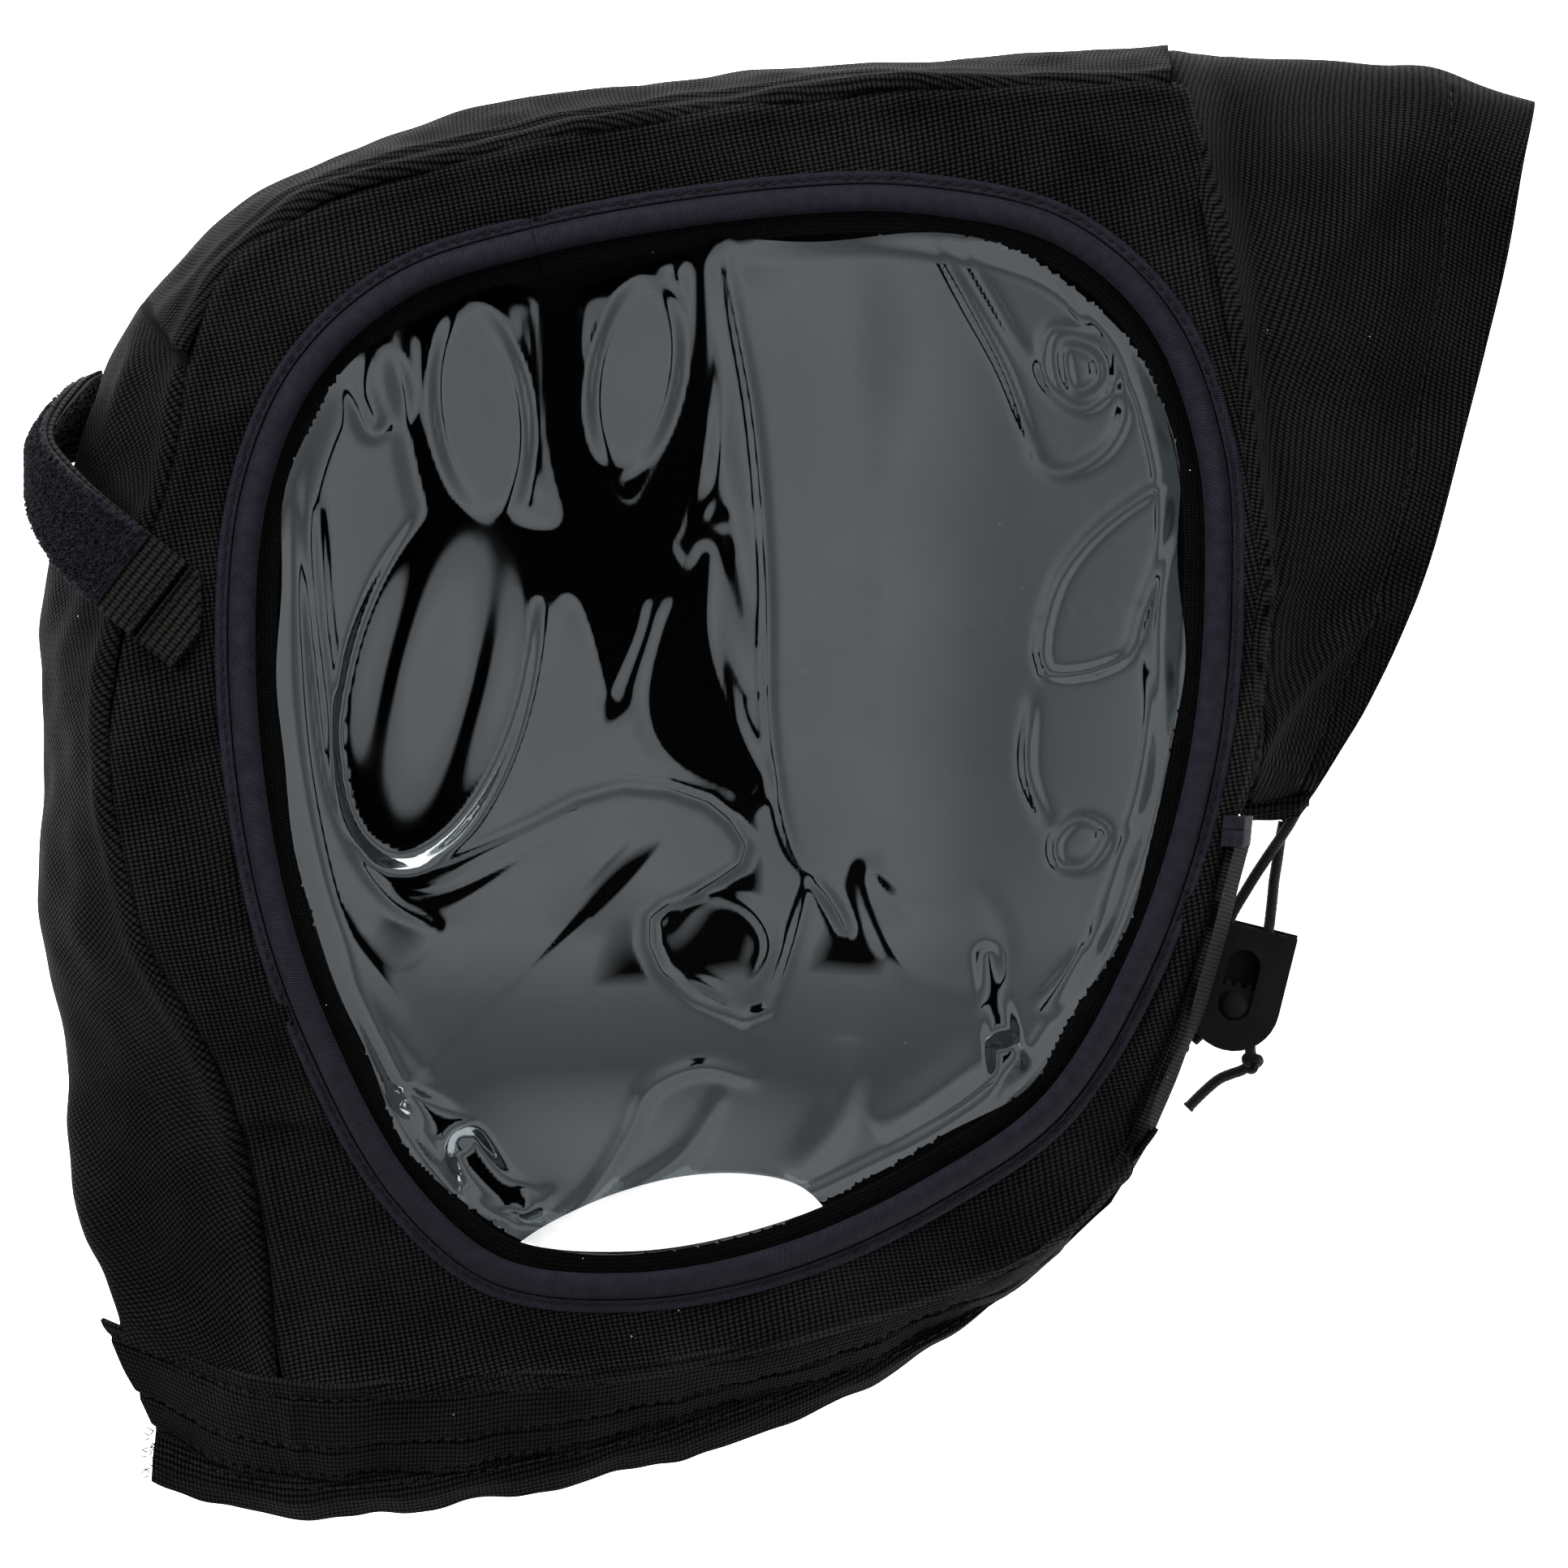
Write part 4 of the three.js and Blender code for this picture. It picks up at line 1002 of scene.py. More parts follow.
def window_flange():
    top = [(0.12, 1.0), (0.3, 1.32), (0.7, 1.44), (1.1, 1.45), (1.4, 1.45), (1.6, 1.45), (1.75, 1.45),
           (1.9, 1.45), (2.1, 1.45), (2.5, 1.4), (2.85, 1.3)]
    obj = window_ring("window_binding_flange", [(0.12, 0.5)] + top + [(2.85, 0.5)], 1500, flange_relief)
    return finished(obj, "binding_tape", "tape", replaces=["window_flange"])


def stitch_row(path, sink, up=(0, 0, 1)):
    """Small tapered stitches along a path in mm; each is a closed body."""
    path = np.asarray(path, float)
    run = np.concatenate([[0], np.cumsum(np.linalg.norm(np.diff(path, axis=0), axis=1))])
    parts = []
    for start in np.arange(STITCH_PITCH / 2, run[-1] - STITCH, STITCH_PITCH):
        spots = np.linspace(start, start + STITCH, 7)
        line = np.stack([np.interp(spots, run, path[:, k]) for k in range(3)], -1)
        arch = np.sin(np.linspace(0, math.pi, 7))
        line += np.outer(arch * 0.22 - sink, up)
        size = THREAD / 2 * (0.45 + 0.55 * np.sqrt(arch))
        points, faces, caps, uv = tube(line, size, 6)
        parts.append((points, faces.tolist() + caps.tolist(), uv))
    return parts


def flange_stitching():
    t = np.linspace(0, 1, 1500)
    path = WINDOW_EDGE.inset(t, np.full(1500, -1.75))
    path[:, 2] = face_height(path[:, 0], path[:, 1]) + 1.22
    obj = many("window_binding_stitches", stitch_row(path, 0.02))
    return finished(obj, "binding_tape", "thread")


def seam_allowance():
    inward = np.linspace(5, 13.5, 9)
    top = np.column_stack([inward, np.full(9, -1.9)])
    under = np.column_stack([inward[::-1], np.full(9, -2.5)])
    obj = window_ring("window_seam_margin", np.vstack([top, under]), 620,
                      lambda x, y, along, inward, rise: 0.14 * waves(x, y, 12, 46))
    return finished(obj, "seam_allowance", "margin", replaces=["window_seam_allowance"])


# Stretches where the sheet lies level: strokes of (x, y, half width), which mirror what is
# straight above and so look black. Elsewhere the sheet leans and mirrors the bright surround.
LEVEL = [
    [(-82.5, 101, 1.2), (-81, 84, 1.6), (-76.5, 66, 2.6), (-70, 51, 4.5)],
    [(-79, 104, 2.6), (-63, 110, 3.0), (-47, 110, 3.6), (-31, 114.5, 3.0), (-18, 118, 2.2)],
    [(-49, 108, 4.6), (-48.5, 90, 4.2), (-46, 72, 5), (-41, 58, 6.5)],
    [(-18.4, 117, 1.4), (-18.2, 95, 1.7), (-21, 76, 3.4), (-27.5, 58, 5.5)],
    [(-65, 50, 7.5), (-49, 49, 7), (-36, 52, 8), (-28, 47, 5.5)],
    [(-39, 50, 9), (-37, 37, 6.2), (-38, 21, 0.8)],
    [(-17, 50, 1.2), (-21.5, 32, 5.5), (-20, 14, 8.5), (-9, 1, 3)],
]
# Short level terraces in the leaning lower part, given the same way.
SLIVERS = [
    [(44.4, -37, 0.5), (45.4, -45, 1.0), (46.8, -53, 1.3)],
    [(48, -57, 1.3), (50, -63, 2.4), (52, -68, 3.4)],
    [(57.3, -47.5, 0.6), (62, -43, 1.2), (66, -39, 1.7)],
    [(70, -34, 1.6), (74, -28.5, 2.0), (79, -20, 2.6)],
    [(-82.5, -69, 1.1), (-77, -72, 1.6), (-72, -75.5, 1.9)],
    [(-69, -79, 2.0), (-64, -87, 2.6), (-57, -91, 1.2)],
]
# Wrinkles: points, width, height and whether the line is closed.
WRINKLES = [
    ([(-13.5, 118), (-10, 100), (-6.4, 79.5), (-3.6, 45), (-2.8, 12), (1.6, -12.6), (6, -19.6)], 1.4, 0.6, False),
    ([(-17.5, 110), (-16, 84), (-9, 50), (-5.5, 30)], 3.4, 0.4, False),
    ([(-95, -14), (-79, -17), (-60, -10), (-36.5, 0), (-16, -4), (-8.1, -14.3), (-18, -22), (-29, -28),
      (-26, -41), (-5.5, -50.6), (1.5, -36), (6, -19.6)], 1.3, 0.62, False),
    ([(-91, -19), (-78, -24), (-58, -15), (-44, -6)], 1.7, 0.3, False),
    ([(-27, -31), (-20, -24), (-8, -26), (-3, -34), (-8, -46)], 1.5, 0.28, False),
    ([(-27, -39), (-14, -45), (-4, -56)], 1.5, 0.24, False),
    ([(32.6, 118), (41, 103), (48, 90), (53, 77), (56, 70)], 1.4, 0.8, False),
    ([(36, 121), (45, 106), (51, 96), (58, 88)], 1.6, 0.6, False),
    ([(58, 99), (69, 97), (72, 88), (65, 82), (57, 88)], 1.4, 0.8, True),
    ([(61.5, 95), (67.5, 93), (68, 88), (63, 86)], 1.3, 0.8, True),
    ([(58, 118), (64, 105), (68, 97)], 1.5, 0.7, False),
    ([(53, 72), (60, 68), (70, 73), (74, 82), (70, 88)], 1.6, 0.8, False),
    ([(57, 25), (59, 43), (70, 57), (86, 66), (84, 55), (78, 38), (74, 28)], 1.5, 0.85, True),
    ([(74, 28), (66, 25), (56, 24)], 1.3, 0.8, False),
    ([(59, -12), (64, -7), (70, -10), (66, -17), (60, -17)], 1.4, 0.8, True),
    ([(54, 20), (53, 3), (58, -10)], 1.7, 0.9, False),
    ([(79, 32), (81, 12), (78, -6), (70, -13)], 1.7, 0.7, False),
    ([(-105.5, 66), (-102, 30), (-96.6, -5.5), (-86, -24), (-75.4, -30)], 1.3, 0.8, False),
    ([(-101, 62), (-98.5, 30), (-93, 2), (-84, -14)], 1.3, 0.5, False),
    ([(-95, 88), (-89, 76), (-84, 80), (-83, 92)], 1.8, 0.9, False),
    ([(-56, -101), (-43.5, -90.4), (-34, -76), (-29.4, -66), (-18, -61), (-6.4, -63.9)], 1.7, 1.0, False),
    ([(-50, -100), (-36, -90), (-22, -80), (-13, -66)], 2.0, 0.8, False),
    ([(-72, -95), (-60, -96), (-50, -88)], 1.8, 0.7, False),
    ([(18, -18), (28, -22), (42, -23), (48, -34), (42, -44), (30, -42), (21, -32)], 2.6, 0.2, True),
    ([(6, -19.6), (11, -26), (14, -32)], 1.3, 0.8, False),
    ([(-100, -26), (-96, -36), (-84, -52), (-76, -64)], 3.0, 0.7, False),
    ([(20, -76), (34, -66), (44, -58)], 4.5, 1.1, False),
    ([(2, -86), (12, -72), (14, -54)], 4.0, 0.9, False),
]
SAG = 0.105                  # how steeply the sheet falls away from its level stretches
SAG_REACH = 140              # the fall eases off over this distance


def level_distance(x, y):
    """Distance to the nearest level stretch, 0 inside one."""
    nearest = np.full(x.shape, 1e3)
    for stroke in LEVEL:
        line = Curve(stroke).at(np.linspace(0, 1, 24))
        distance, _, share = line_distance(x, y, line)
        run = np.concatenate([[0], np.cumsum(np.hypot(*np.diff(line[:, :2], axis=0).T))])
        half = np.interp(share, run / run[-1], line[:, 2])
        away = distance - half
        meet = np.clip(3.5 - np.abs(nearest - away), 0, None) / 3.5
        nearest = np.minimum(nearest, away) - meet**2 * 3.5 * 0.25
    return np.clip(nearest, 0, None)


# Pads that lean one way all over: centre, half sizes, turn in degrees, slope to the right and
# the width of the edge that blends in.
PADS = [
    (-65.5, 81, 11.5, 25, 8, 0.15, 3.2), (-32, 89, 10.5, 23, -10, -0.15, 3.2),
    (-84.5, 86, 4.5, 11, 12, 0.35, 3.2), (-75, 24, 19, 40, -14, 0.1, 15),
]


def tilted_pads(x, y):
    height, inside = np.zeros(x.shape), np.zeros(x.shape)
    for cx, cy, wide, tall, turn, slope, edge in PADS:
        angle = math.radians(turn)
        dx, dy = x - cx, y - cy
        u = (dx * math.cos(angle) + dy * math.sin(angle)) / wide
        v = (-dx * math.sin(angle) + dy * math.cos(angle)) / tall
        mask = ease((1 - np.hypot(u, v)) * wide / edge)
        height += slope * u * wide * mask
        inside = np.maximum(inside, ease((1.12 - np.hypot(u, v)) * wide / 3))
    return height, inside


def level_slivers(x, y, height):
    """What has to be added to a height over the floor for each sliver to lie level."""
    total = np.zeros(x.shape)
    for stroke in SLIVERS:
        line = Curve(stroke).at(np.linspace(0, 1, 24))
        distance, _, share = line_distance(x, y, line)
        half = np.interp(share, np.linspace(0, 1, 24), line[:, 2])
        middle = line[12]
        level = height[np.argmin(np.hypot(x - middle[0], y - middle[1]))]
        total += (level - height) * ease(1 - (distance - half) / 3.6)
    return total


def pane_relief(x, y, inward):
    away = level_distance(x, y)
    tilt, leaning = tilted_pads(x, y)
    away = away * (1 - leaning)
    loose = ease(away / 5)
    fall = -SAG * SAG_REACH * (1 - np.exp(-away / SAG_REACH))
    height = fall + loose * (0.26 * waves(x, y, 44, 51) + 0.6 * waves(x, y, 105, 52))
    for points, width, rise, closed in WRINKLES:
        height += loose * ridge(x, y, points, width, rise, closed)
    height += level_slivers(x, y, face_height(x, y) + height)
    return (height + tilt) * ease((inward - 10.5) / 9)


def inward_distance(x, y):
    """Distance inwards from the binding's outer edge, negative outside it."""
    edge = WINDOW_EDGE.even(420)
    distance, side, _ = line_distance(x, y, np.vstack([edge, edge[:1]]))
    return -side * distance, edge


def window_pane():
    step = 0.85
    low, high = WINDOW_EDGE.even(400).min(0), WINDOW_EDGE.even(400).max(0)
    xs, ys = np.arange(low[0], high[0] + step, step), np.arange(low[1], high[1] + step, step)
    x, y = np.meshgrid(xs, ys, indexing="ij")
    shape = x.shape
    inward, _ = inward_distance(x.ravel(), y.ravel())
    x, y = x.ravel(), y.ravel()
    margin = MARGIN + 1.1 * waves(x, y, 42, 57)
    near = np.where(np.abs(inward - margin) < 0.55 * step)[0]
    for _ in range(2):
        probe = 0.05
        gx = (inward_distance(x[near] + probe, y[near])[0] - inward_distance(x[near] - probe, y[near])[0]) / (2 * probe)
        gy = (inward_distance(x[near], y[near] + probe)[0] - inward_distance(x[near], y[near] - probe)[0]) / (2 * probe)
        off = margin[near] - inward[near]
        x[near] += gx * off
        y[near] += gy * off
        inward[near] = inward_distance(x[near], y[near])[0]
    z = face_height(x, y) + pane_relief(x, y, inward)
    faces = grid_faces(*shape)
    faces = faces[(inward[faces] > 4.6).all(axis=1)]
    dull = (inward[faces].mean(axis=1) < margin[faces].mean(axis=1)).astype(int)
    used, place = np.unique(faces, return_inverse=True)
    faces = place.reshape(faces.shape)
    top = np.column_stack([x, y, z])[used]
    under = top - [0, 0, PANE]
    n = len(top)
    edges = np.concatenate([faces[:, [k, (k + 1) % 4]] for k in range(4)])
    key = {tuple(e) for e in edges.tolist()}
    border = np.array([e for e in edges.tolist() if (e[1], e[0]) not in key])
    rim = np.column_stack([border[:, 1], border[:, 0], border[:, 0] + n, border[:, 1] + n])
    everything = np.vstack([faces, faces[:, ::-1] + n, rim])
    slots = np.concatenate([dull, dull, np.ones(len(rim), int)])
    vertices = np.vstack([top, under])
    if volume(vertices, everything) < 0:
        everything = everything[:, ::-1]
    obj = mesh_object("window_clear_sheet", vertices, everything, vertices[:, :2], slots)
    return finished(obj, "clear_vinyl", "vinyl", "vinyl_edge", replaces=["window_pane"])


window_binding()
window_flange()
flange_stitching()
seam_allowance()
window_pane()


# ---- neck hem on the front -----------------------------------------------------------------
HEM_UPPER = Curve([
    (-148.4, -119.0, 9.5), (-129, -127, 17), (-111, -131.5, 22), (-85, -132, 22), (-60, -130.5, 22),
    (-25, -126.5, 22), (14, -116.5, 21.5), (40, -107.5, 22), (60, -97.5, 24), (77, -81, 26),
])
HEM_LOWER = Curve([
    (-138.5, -143, 4.5), (-124, -149, 7), (-108, -152.5, 9), (-85, -151.5, 9), (-60, -147.5, 9),
    (-25, -140, 8.5), (10, -129, 8), (33, -120, 7), (51, -109, 7), (71, -91, 7.5),
])
HEM_FOOT = Curve([
    (-139.5, -153, 3), (-124, -158.5, 3), (-108, -160.8, 3), (-85, -160.3, 3), (-60, -156.5, 3),
    (-25, -149, 3), (9, -137, 3), (31, -125, 3), (49, -112, 3), (69, -94, 3),
])
HEM_ROWS = (0.07, 0.62, 0.95)     # stitch rows, as shares of the casing's width


def hem_grid(upper, lower, first, last, rows, columns, hump):
    t = np.linspace(0, 1, rows)
    share = np.linspace(first, last, columns)
    grid = mix(upper.at(t)[:, None], lower.at(t)[:, None], share[None, :, None])
    grid[..., 2] += hump * np.sin(np.pi * share)[None, :]
    wrap = np.arange(1, 9)[:, None, None] * np.array([0.42, 0.7, -0.35])
    grid = np.vstack([grid, np.maximum(grid[-1:] + wrap, [-1e3, -1e3, LEDGE])])
    return grid, t, share


def casing_relief(grid, uv, share):
    along, x, y = uv[..., 1], grid[..., 0], grid[..., 1]
    height = 0.7 * waves(x, y, 34, 61) + 0.2 * waves(x, y, 10, 62)
    for row in HEM_ROWS:
        away = (share[None, :] - row) * np.linalg.norm(grid[:, -1] - grid[:, 0], axis=-1)[:, None]
        pull = 0.75 + 0.25 * np.cos(along * math.tau / STITCH_PITCH)
        height += -1.05 * np.exp(-((away / 0.8) ** 2)) * pull
        height += 0.16 * np.sin(along * math.tau / 7 + 3 * waves(x, y, 40, 63)) * np.exp(-np.abs(away) / 3)
    height += ridge(x, y, [(-108, -129), (-108, -140), (-106, -153)], 1.5, 0.7)
    height += ridge(x, y, [(22, -112), (26, -118), (28, -124)], 2.0, 0.35)
    return height


def hem_casing():
    grid, _, share = hem_grid(HEM_UPPER, HEM_LOWER, -0.1, 1.0, 520, 44, 1.2)
    grid[..., 2] += 0.9 * (1 - ease((share + 0.1) / 0.1))[None, :] * 0.6
    uv = arc_uv(grid)
    lifted = grid + upward(grid) * (casing_relief(grid, uv, share) + 0.5)[..., None]
    obj = sheet_object("hem_casing_cloth", lifted, turned(uv, 3), CLOTH)
    finished(obj, "shell_fabric", "shell", replaces=["hem_casing"])
    parts = []
    for row in HEM_ROWS:
        column = int(np.argmin(np.abs(share - row)))
        parts += stitch_row(lifted[:, column] + [0, 0, 0.3], 0.05)
    return finished(many("hem_casing_stitches", parts), "shell_fabric", "thread")


def hem_edge():
    grid, t, share = hem_grid(HEM_LOWER, HEM_FOOT, -0.16, 1.0, 520, 26, 1.2)
    uv = arc_uv(grid)
    x, y = grid[..., 0], grid[..., 1]
    low = ease(share)[None, :]
    wavy = (1.0 * waves(x, y, 24, 64) + 0.35 * waves(x, y, 9, 65)) * low
    outward = grid[:, -1] - grid[:, 0]
    outward /= np.linalg.norm(outward, axis=-1, keepdims=True)
    height = 0.35 * waves(x, y, 16, 66) + 0.5 * np.sin(np.pi * ease(share))[None, :] ** 2
    height -= 0.5 * np.exp(-(((share - 0.1) / 0.07) ** 2))[None, :]
    moved = grid + outward[:, None] * (wavy * 0.55)[..., None] + upward(grid) * height[..., None]
    moved[..., 2] = np.maximum(moved[..., 2] - 0.75 * (share[None, :] < 0), 1.35)
    obj = sheet_object("hem_edge_cloth", moved, turned(uv, -4), CLOTH)
    finished(obj, "shell_fabric", "shell", replaces=["hem_edge_fold"])
    t = np.linspace(0.01, 0.99, 500)
    path = mix(HEM_LOWER.at(t), HEM_FOOT.at(t), 0.2) + [0, 0, 1.1]
    return finished(many("hem_edge_stitches", stitch_row(path, 0.0)), "shell_fabric", "thread")


def frayed_end():
    """Loose threads where the folded hem ends raw at the cheek."""
    draw = np.random.default_rng(71)
    parts = []
    for _ in range(20):
        start = np.array([-139.2 + draw.normal(0, 0.8), -147 + draw.uniform(-5, 5.5), 4 + draw.uniform(-1.4, 2)])
        heading = draw.normal(math.pi * 0.98, 0.55)
        length = draw.uniform(0.7, 2.2)
        share = np.linspace(0, 1, 7)[:, None]
        bend = draw.normal(0, 0.5)
        line = start + share * length * np.array([math.cos(heading), math.sin(heading), draw.normal(0, 0.25)])
        line[:, 1] += (share[:, 0] ** 2) * bend
        line[:, 2] = np.maximum(line[:, 2], 0.3)
        points, faces, caps, uv = tube(line, np.linspace(0.17, 0.08, 7), 5)
        parts.append((points, faces.tolist() + caps.tolist(), uv))
    return finished(many("hem_frayed_threads", parts), "shell_fabric", "thread")


hem_casing()
hem_edge()
frayed_end()


# ---- sleeve --------------------------------------------------------------------------------
SLEEVE_ROOT = Curve([
    (84.5, 159.5), (91.5, 132), (98.5, 100), (103.5, 61), (104.5, 48), (102.5, 21), (100, -4.5),
])
SLEEVE_MOUTH = Curve([
    (165.5, 151), (162, 136), (158.5, 116), (149, 77), (140, 45), (128, 18), (121.5, 7), (115.5, -3.5),
])


OVERLAP = 2.4                 # how far the sleeve's root lies over the front panel


def sleeve_spot(u, v, drop=0.0):
    """A place on the sleeve's outside: u runs from its root to its mouth, v from crown to hem."""
    u, v = np.broadcast_arrays(np.asarray(u, float), np.asarray(v, float))
    spot = mix(SLEEVE_ROOT.at(v), SLEEVE_MOUTH.at(v), u[..., None])
    crest = mix(MOUTH_HEIGHT, CROWN_HEIGHT - SLEEVE_DROP - 1, np.clip(1 - u, 0, 1) ** 1.3)
    dome = np.maximum(1 - np.abs(2 * v - 1) ** 5, 0) ** 0.45
    spot[..., 1] += 4 * np.sin(np.pi * u) * (1 - v) ** 3
    spot[..., 2] = mix(LEDGE, crest, dome) - drop
    return spot


def sleeve_relief(x, y, u, from_mouth):
    height = 0.8 * waves(x, y, 60, 81) + 0.25 * waves(x, y, 22, 82)
    height += 1.5 * np.exp(-((u / 0.045) ** 2)) - 0.9 * np.exp(-(((u - 0.11) / 0.04) ** 2))
    height += ridge(x, y, [(138, 42.5), (126, 36), (115.8, 26.6), (106.4, 14), (99, 1)], 2.6, 2.2)
    height += tuck(x, y, [(140, 45), (127, 38), (116, 28), (106, 15)], 9, 0.9, 2.4)
    height += ridge(x, y, [(145, 155), (131, 132), (116, 111), (108, 92)], 4.5, 1.5)
    height += ridge(x, y, [(147, 154), (139, 128), (133, 106), (129, 88)], 2.4, 0.7)
    height += ridge(x, y, [(119, 48), (111, 45), (104, 40)], 2.6, 0.9)
    height += ridge(x, y, [(96, 150), (104, 120), (108, 88), (112, 60)], 7, -1.2)
    height += ridge(x, y, [(150, 112), (140, 86), (132, 60)], 5, -0.7)
    height += -0.42 * np.exp(-((from_mouth / 0.9) ** 2)) + 0.12 * np.exp(-(((from_mouth - 2.4) / 1.4) ** 2))
    return height


def sleeve_front():
    rows, columns = 190, 300
    v = (0.5 - 0.5 * np.cos(np.pi * np.linspace(0, 1, columns)))[None, :]
    reach = np.linalg.norm(SLEEVE_MOUTH.at(v[0]) - SLEEVE_ROOT.at(v[0]), axis=-1)[None, :]
    u = mix(-(OVERLAP + 3.2 * np.exp(-v / 0.06)) / reach, 1.0, np.linspace(0, 1, rows)[:, None])
    grid = sleeve_spot(u, v)
    grid[..., 1] += np.exp(-(((u - 0.06) / 0.10) ** 2)) * 1.8 * (1 - v) ** 6
    grid[..., 1] += np.exp(-(((u - 0.72) / 0.12) ** 2)) * 2.2 * (1 - v) ** 6
    grid[..., 2] += 3.4 * np.exp(-np.maximum(u, 0) / 0.11) * np.sin(np.pi * np.clip(v, 0.001, 0.999)) ** 0.4
    stitched = mix(SLEEVE_ROOT.at(v[0]), SLEEVE_MOUTH.at(v[0]), CASING_START)
    flat = grid[..., :2]
    from_mouth = (u - CASING_START) * reach
    away, _, _ = line_distance(flat[..., 0], flat[..., 1], stitched[:, :2][::6])
    relief = sleeve_relief(flat[..., 0], flat[..., 1], u, np.where(from_mouth > 0, away, -away))
    height = relief * ease((grid[..., 2] - LEDGE) / 7)
    lifted = grid + upward(grid) * height[..., None]
    lifted[..., 2] = np.maximum(lifted[..., 2], LEDGE)
    uv = turned(grid[..., :2], 10) + 1.6 * waves(grid[..., 0], grid[..., 1], 50, 83)[..., None]
    sides = np.stack([uv[..., 0], uv[..., 1] + (CROWN_HEIGHT - grid[..., 2]) * 0.8], -1)
    obj = sheet_object("sleeve_front_cloth", lifted, sides, CLOTH)
    finished(obj, "shell_fabric", "shell", replaces=["sleeve_front"])
    row = int(np.argmin(np.abs(u[:, columns // 2] - CASING_START)))
    path = lifted[row, 30:-26] + [0, 0, 0.12]
    return finished(many("sleeve_casing_stitches", stitch_row(path, 0.05)), "shell_fabric", "thread")


def sleeve_back():
    def rim(u, v):
        return sleeve_spot(u, mix(0.012, 0.988, v))[..., :2]

    outline = np.vstack([
        rim(0.015, np.linspace(0, 1, 30)), rim(1, 1 - np.linspace(0, 1, 50)), rim(np.array([0.75, 0.5, 0.25]), 0.0),
    ])
    obj = filled_sheet("sleeve_back_cloth", outline, lambda x, y: CLOTH + 0 * x, CLOTH, 6, 10)
    return finished(obj, "shell_fabric", "shell", replaces=["sleeve_back"])


def mouth_casings():
    drop = CLOTH + CASING_CHANNEL
    u, v = np.linspace(CASING_START, 0.99, 20)[:, None], np.linspace(0.17, 0.87, 90)[None, :]
    front = sleeve_spot(u, v, drop)
    obj = sheet_object("mouth_casing_front_cloth", front, front[..., :2], FACING, straight=True)
    finished(obj, "shell_fabric", "inside", replaces=["mouth_casing_front"])
    back = sleeve_spot(u, np.linspace(0.17, 0.9, 90)[None, :])
    back[..., 2] = CLOTH + CASING_CHANNEL + FACING
    obj = sheet_object("mouth_casing_back_cloth", back, back[..., :2], FACING, straight=True)
    finished(obj, "shell_fabric", "inside", replaces=["mouth_casing_back"])


def end_hem():
    """The short turned end where both strands come out."""
    rows, columns = 60, 40
    x = np.linspace(99.5, 115.5, rows)
    rounding = ease((x - 99.5) / 2) * ease((115.5 - x) / 2.5)
    profile = np.array([(2.4, 11.4), (0.2, 10.2), (-0.7, 8.4), (-0.9, 6), (-0.6, 4), (0, LEDGE)])
    share = np.linspace(0, 1, columns)
    knots = np.linspace(0, 1, len(profile))
    offset, z = (np.interp(share, knots, profile[:, k]) for k in range(2))
    y = mix(-6.2, -5.2, (x - 99.5) / 15)
    grid = np.stack(np.broadcast_arrays(x[:, None], y[:, None] + offset[None, :], z[None, :]), -1).copy()
    fold = 0.7 * np.exp(-(((grid[..., 2] - 7.6) / 0.8) ** 2)) * rounding[:, None]
    grid[..., 1] -= fold + 0.3 * waves(grid[..., 0], grid[..., 2], 9, 84)
    grid[..., 1] += (1 - rounding[:, None]) * 1.6
    obj = sheet_object("sleeve_end_turned_hem", grid, grid[..., [0, 2]], CLOTH)
    return finished(obj, "shell_fabric", "shell", replaces=["sleeve_end_hem"])


def side_tab():
    """A folded satin tab with a cross seam."""
    rows, columns = 46, 30
    y = np.linspace(-6.4, -13, rows)
    knots = np.array([(-2.6, 43.2), (0, 43.3), (2.2, 42.4), (3.8, 39.5), (4.2, 35)])
    share = np.linspace(0, 1, columns)
    across, z = (np.interp(share, np.linspace(0, 1, 5), knots[:, k]) for k in range(2))
    x = 98.5 + y * 0.1
    grid = np.stack(np.broadcast_arrays(x[:, None] + across[None, :], y[:, None], z[None, :]), -1).copy()
    seam = np.exp(-(((y + 9.6) / 0.35) ** 2))[:, None]
    grid[..., 2] += 0.15 * waves(grid[..., 0], grid[..., 1], 4, 85) - 0.5 * seam
    obj = sheet_object("side_tab_folded", grid, arc_uv(grid), CLOTH)
    return finished(obj, "binding_tape", "tape", replaces=["side_tab"])


def cord_in_casing():
    run = CORD / 2 + 0.35
    stops = np.linspace(0.84, 0.16, 9)
    front = sleeve_spot(0.9, stops, CLOTH + run)
    back = sleeve_spot(0.9, stops[::-1])
    back[:, 2] = CLOTH + run + 0.3
    turn = sleeve_spot(0.9, np.array([0.11, 0.09, 0.11]))
    turn[:, 2] = (12.5, 9, 5.5)
    start = [in_mm(CORD_LEFT[:1])[0], (113.2, -4.8, 5.6), (115.8, 1.5, 7)]
    end = [(115.6, 1.2, 3), (112.4, -4.6, 2.2), in_mm(CORD_RIGHT[:1])[0]]
    path = Curve(np.vstack([start, front, turn, back, end]).tolist()).even(420)
    obj = tube_object("cord_in_casing", path, CORD / 2, 12)
    return finished(obj, "cord", "cord", replaces=["drawcord_in_casing"])


sleeve_front()
sleeve_back()
mouth_casings()
end_hem()
side_tab()
cord_in_casing()


# ---- strap ---------------------------------------------------------------------------------
STRAP_SIDE = Curve([
    (-126, 51.9), (-141, 51.7), (-152, 47.5), (-160.5, 36.5), (-163.6, 21.5), (-161.5, 9.5), (-156, 3.4),
    (-150, 2.2), (-138, 2.2),
])
STRAP_PATH = STRAP_SIDE.even(3000)
STRAP_RUN = np.concatenate([[0], np.cumsum(np.hypot(*np.diff(STRAP_PATH[:, :2], axis=0).T))])


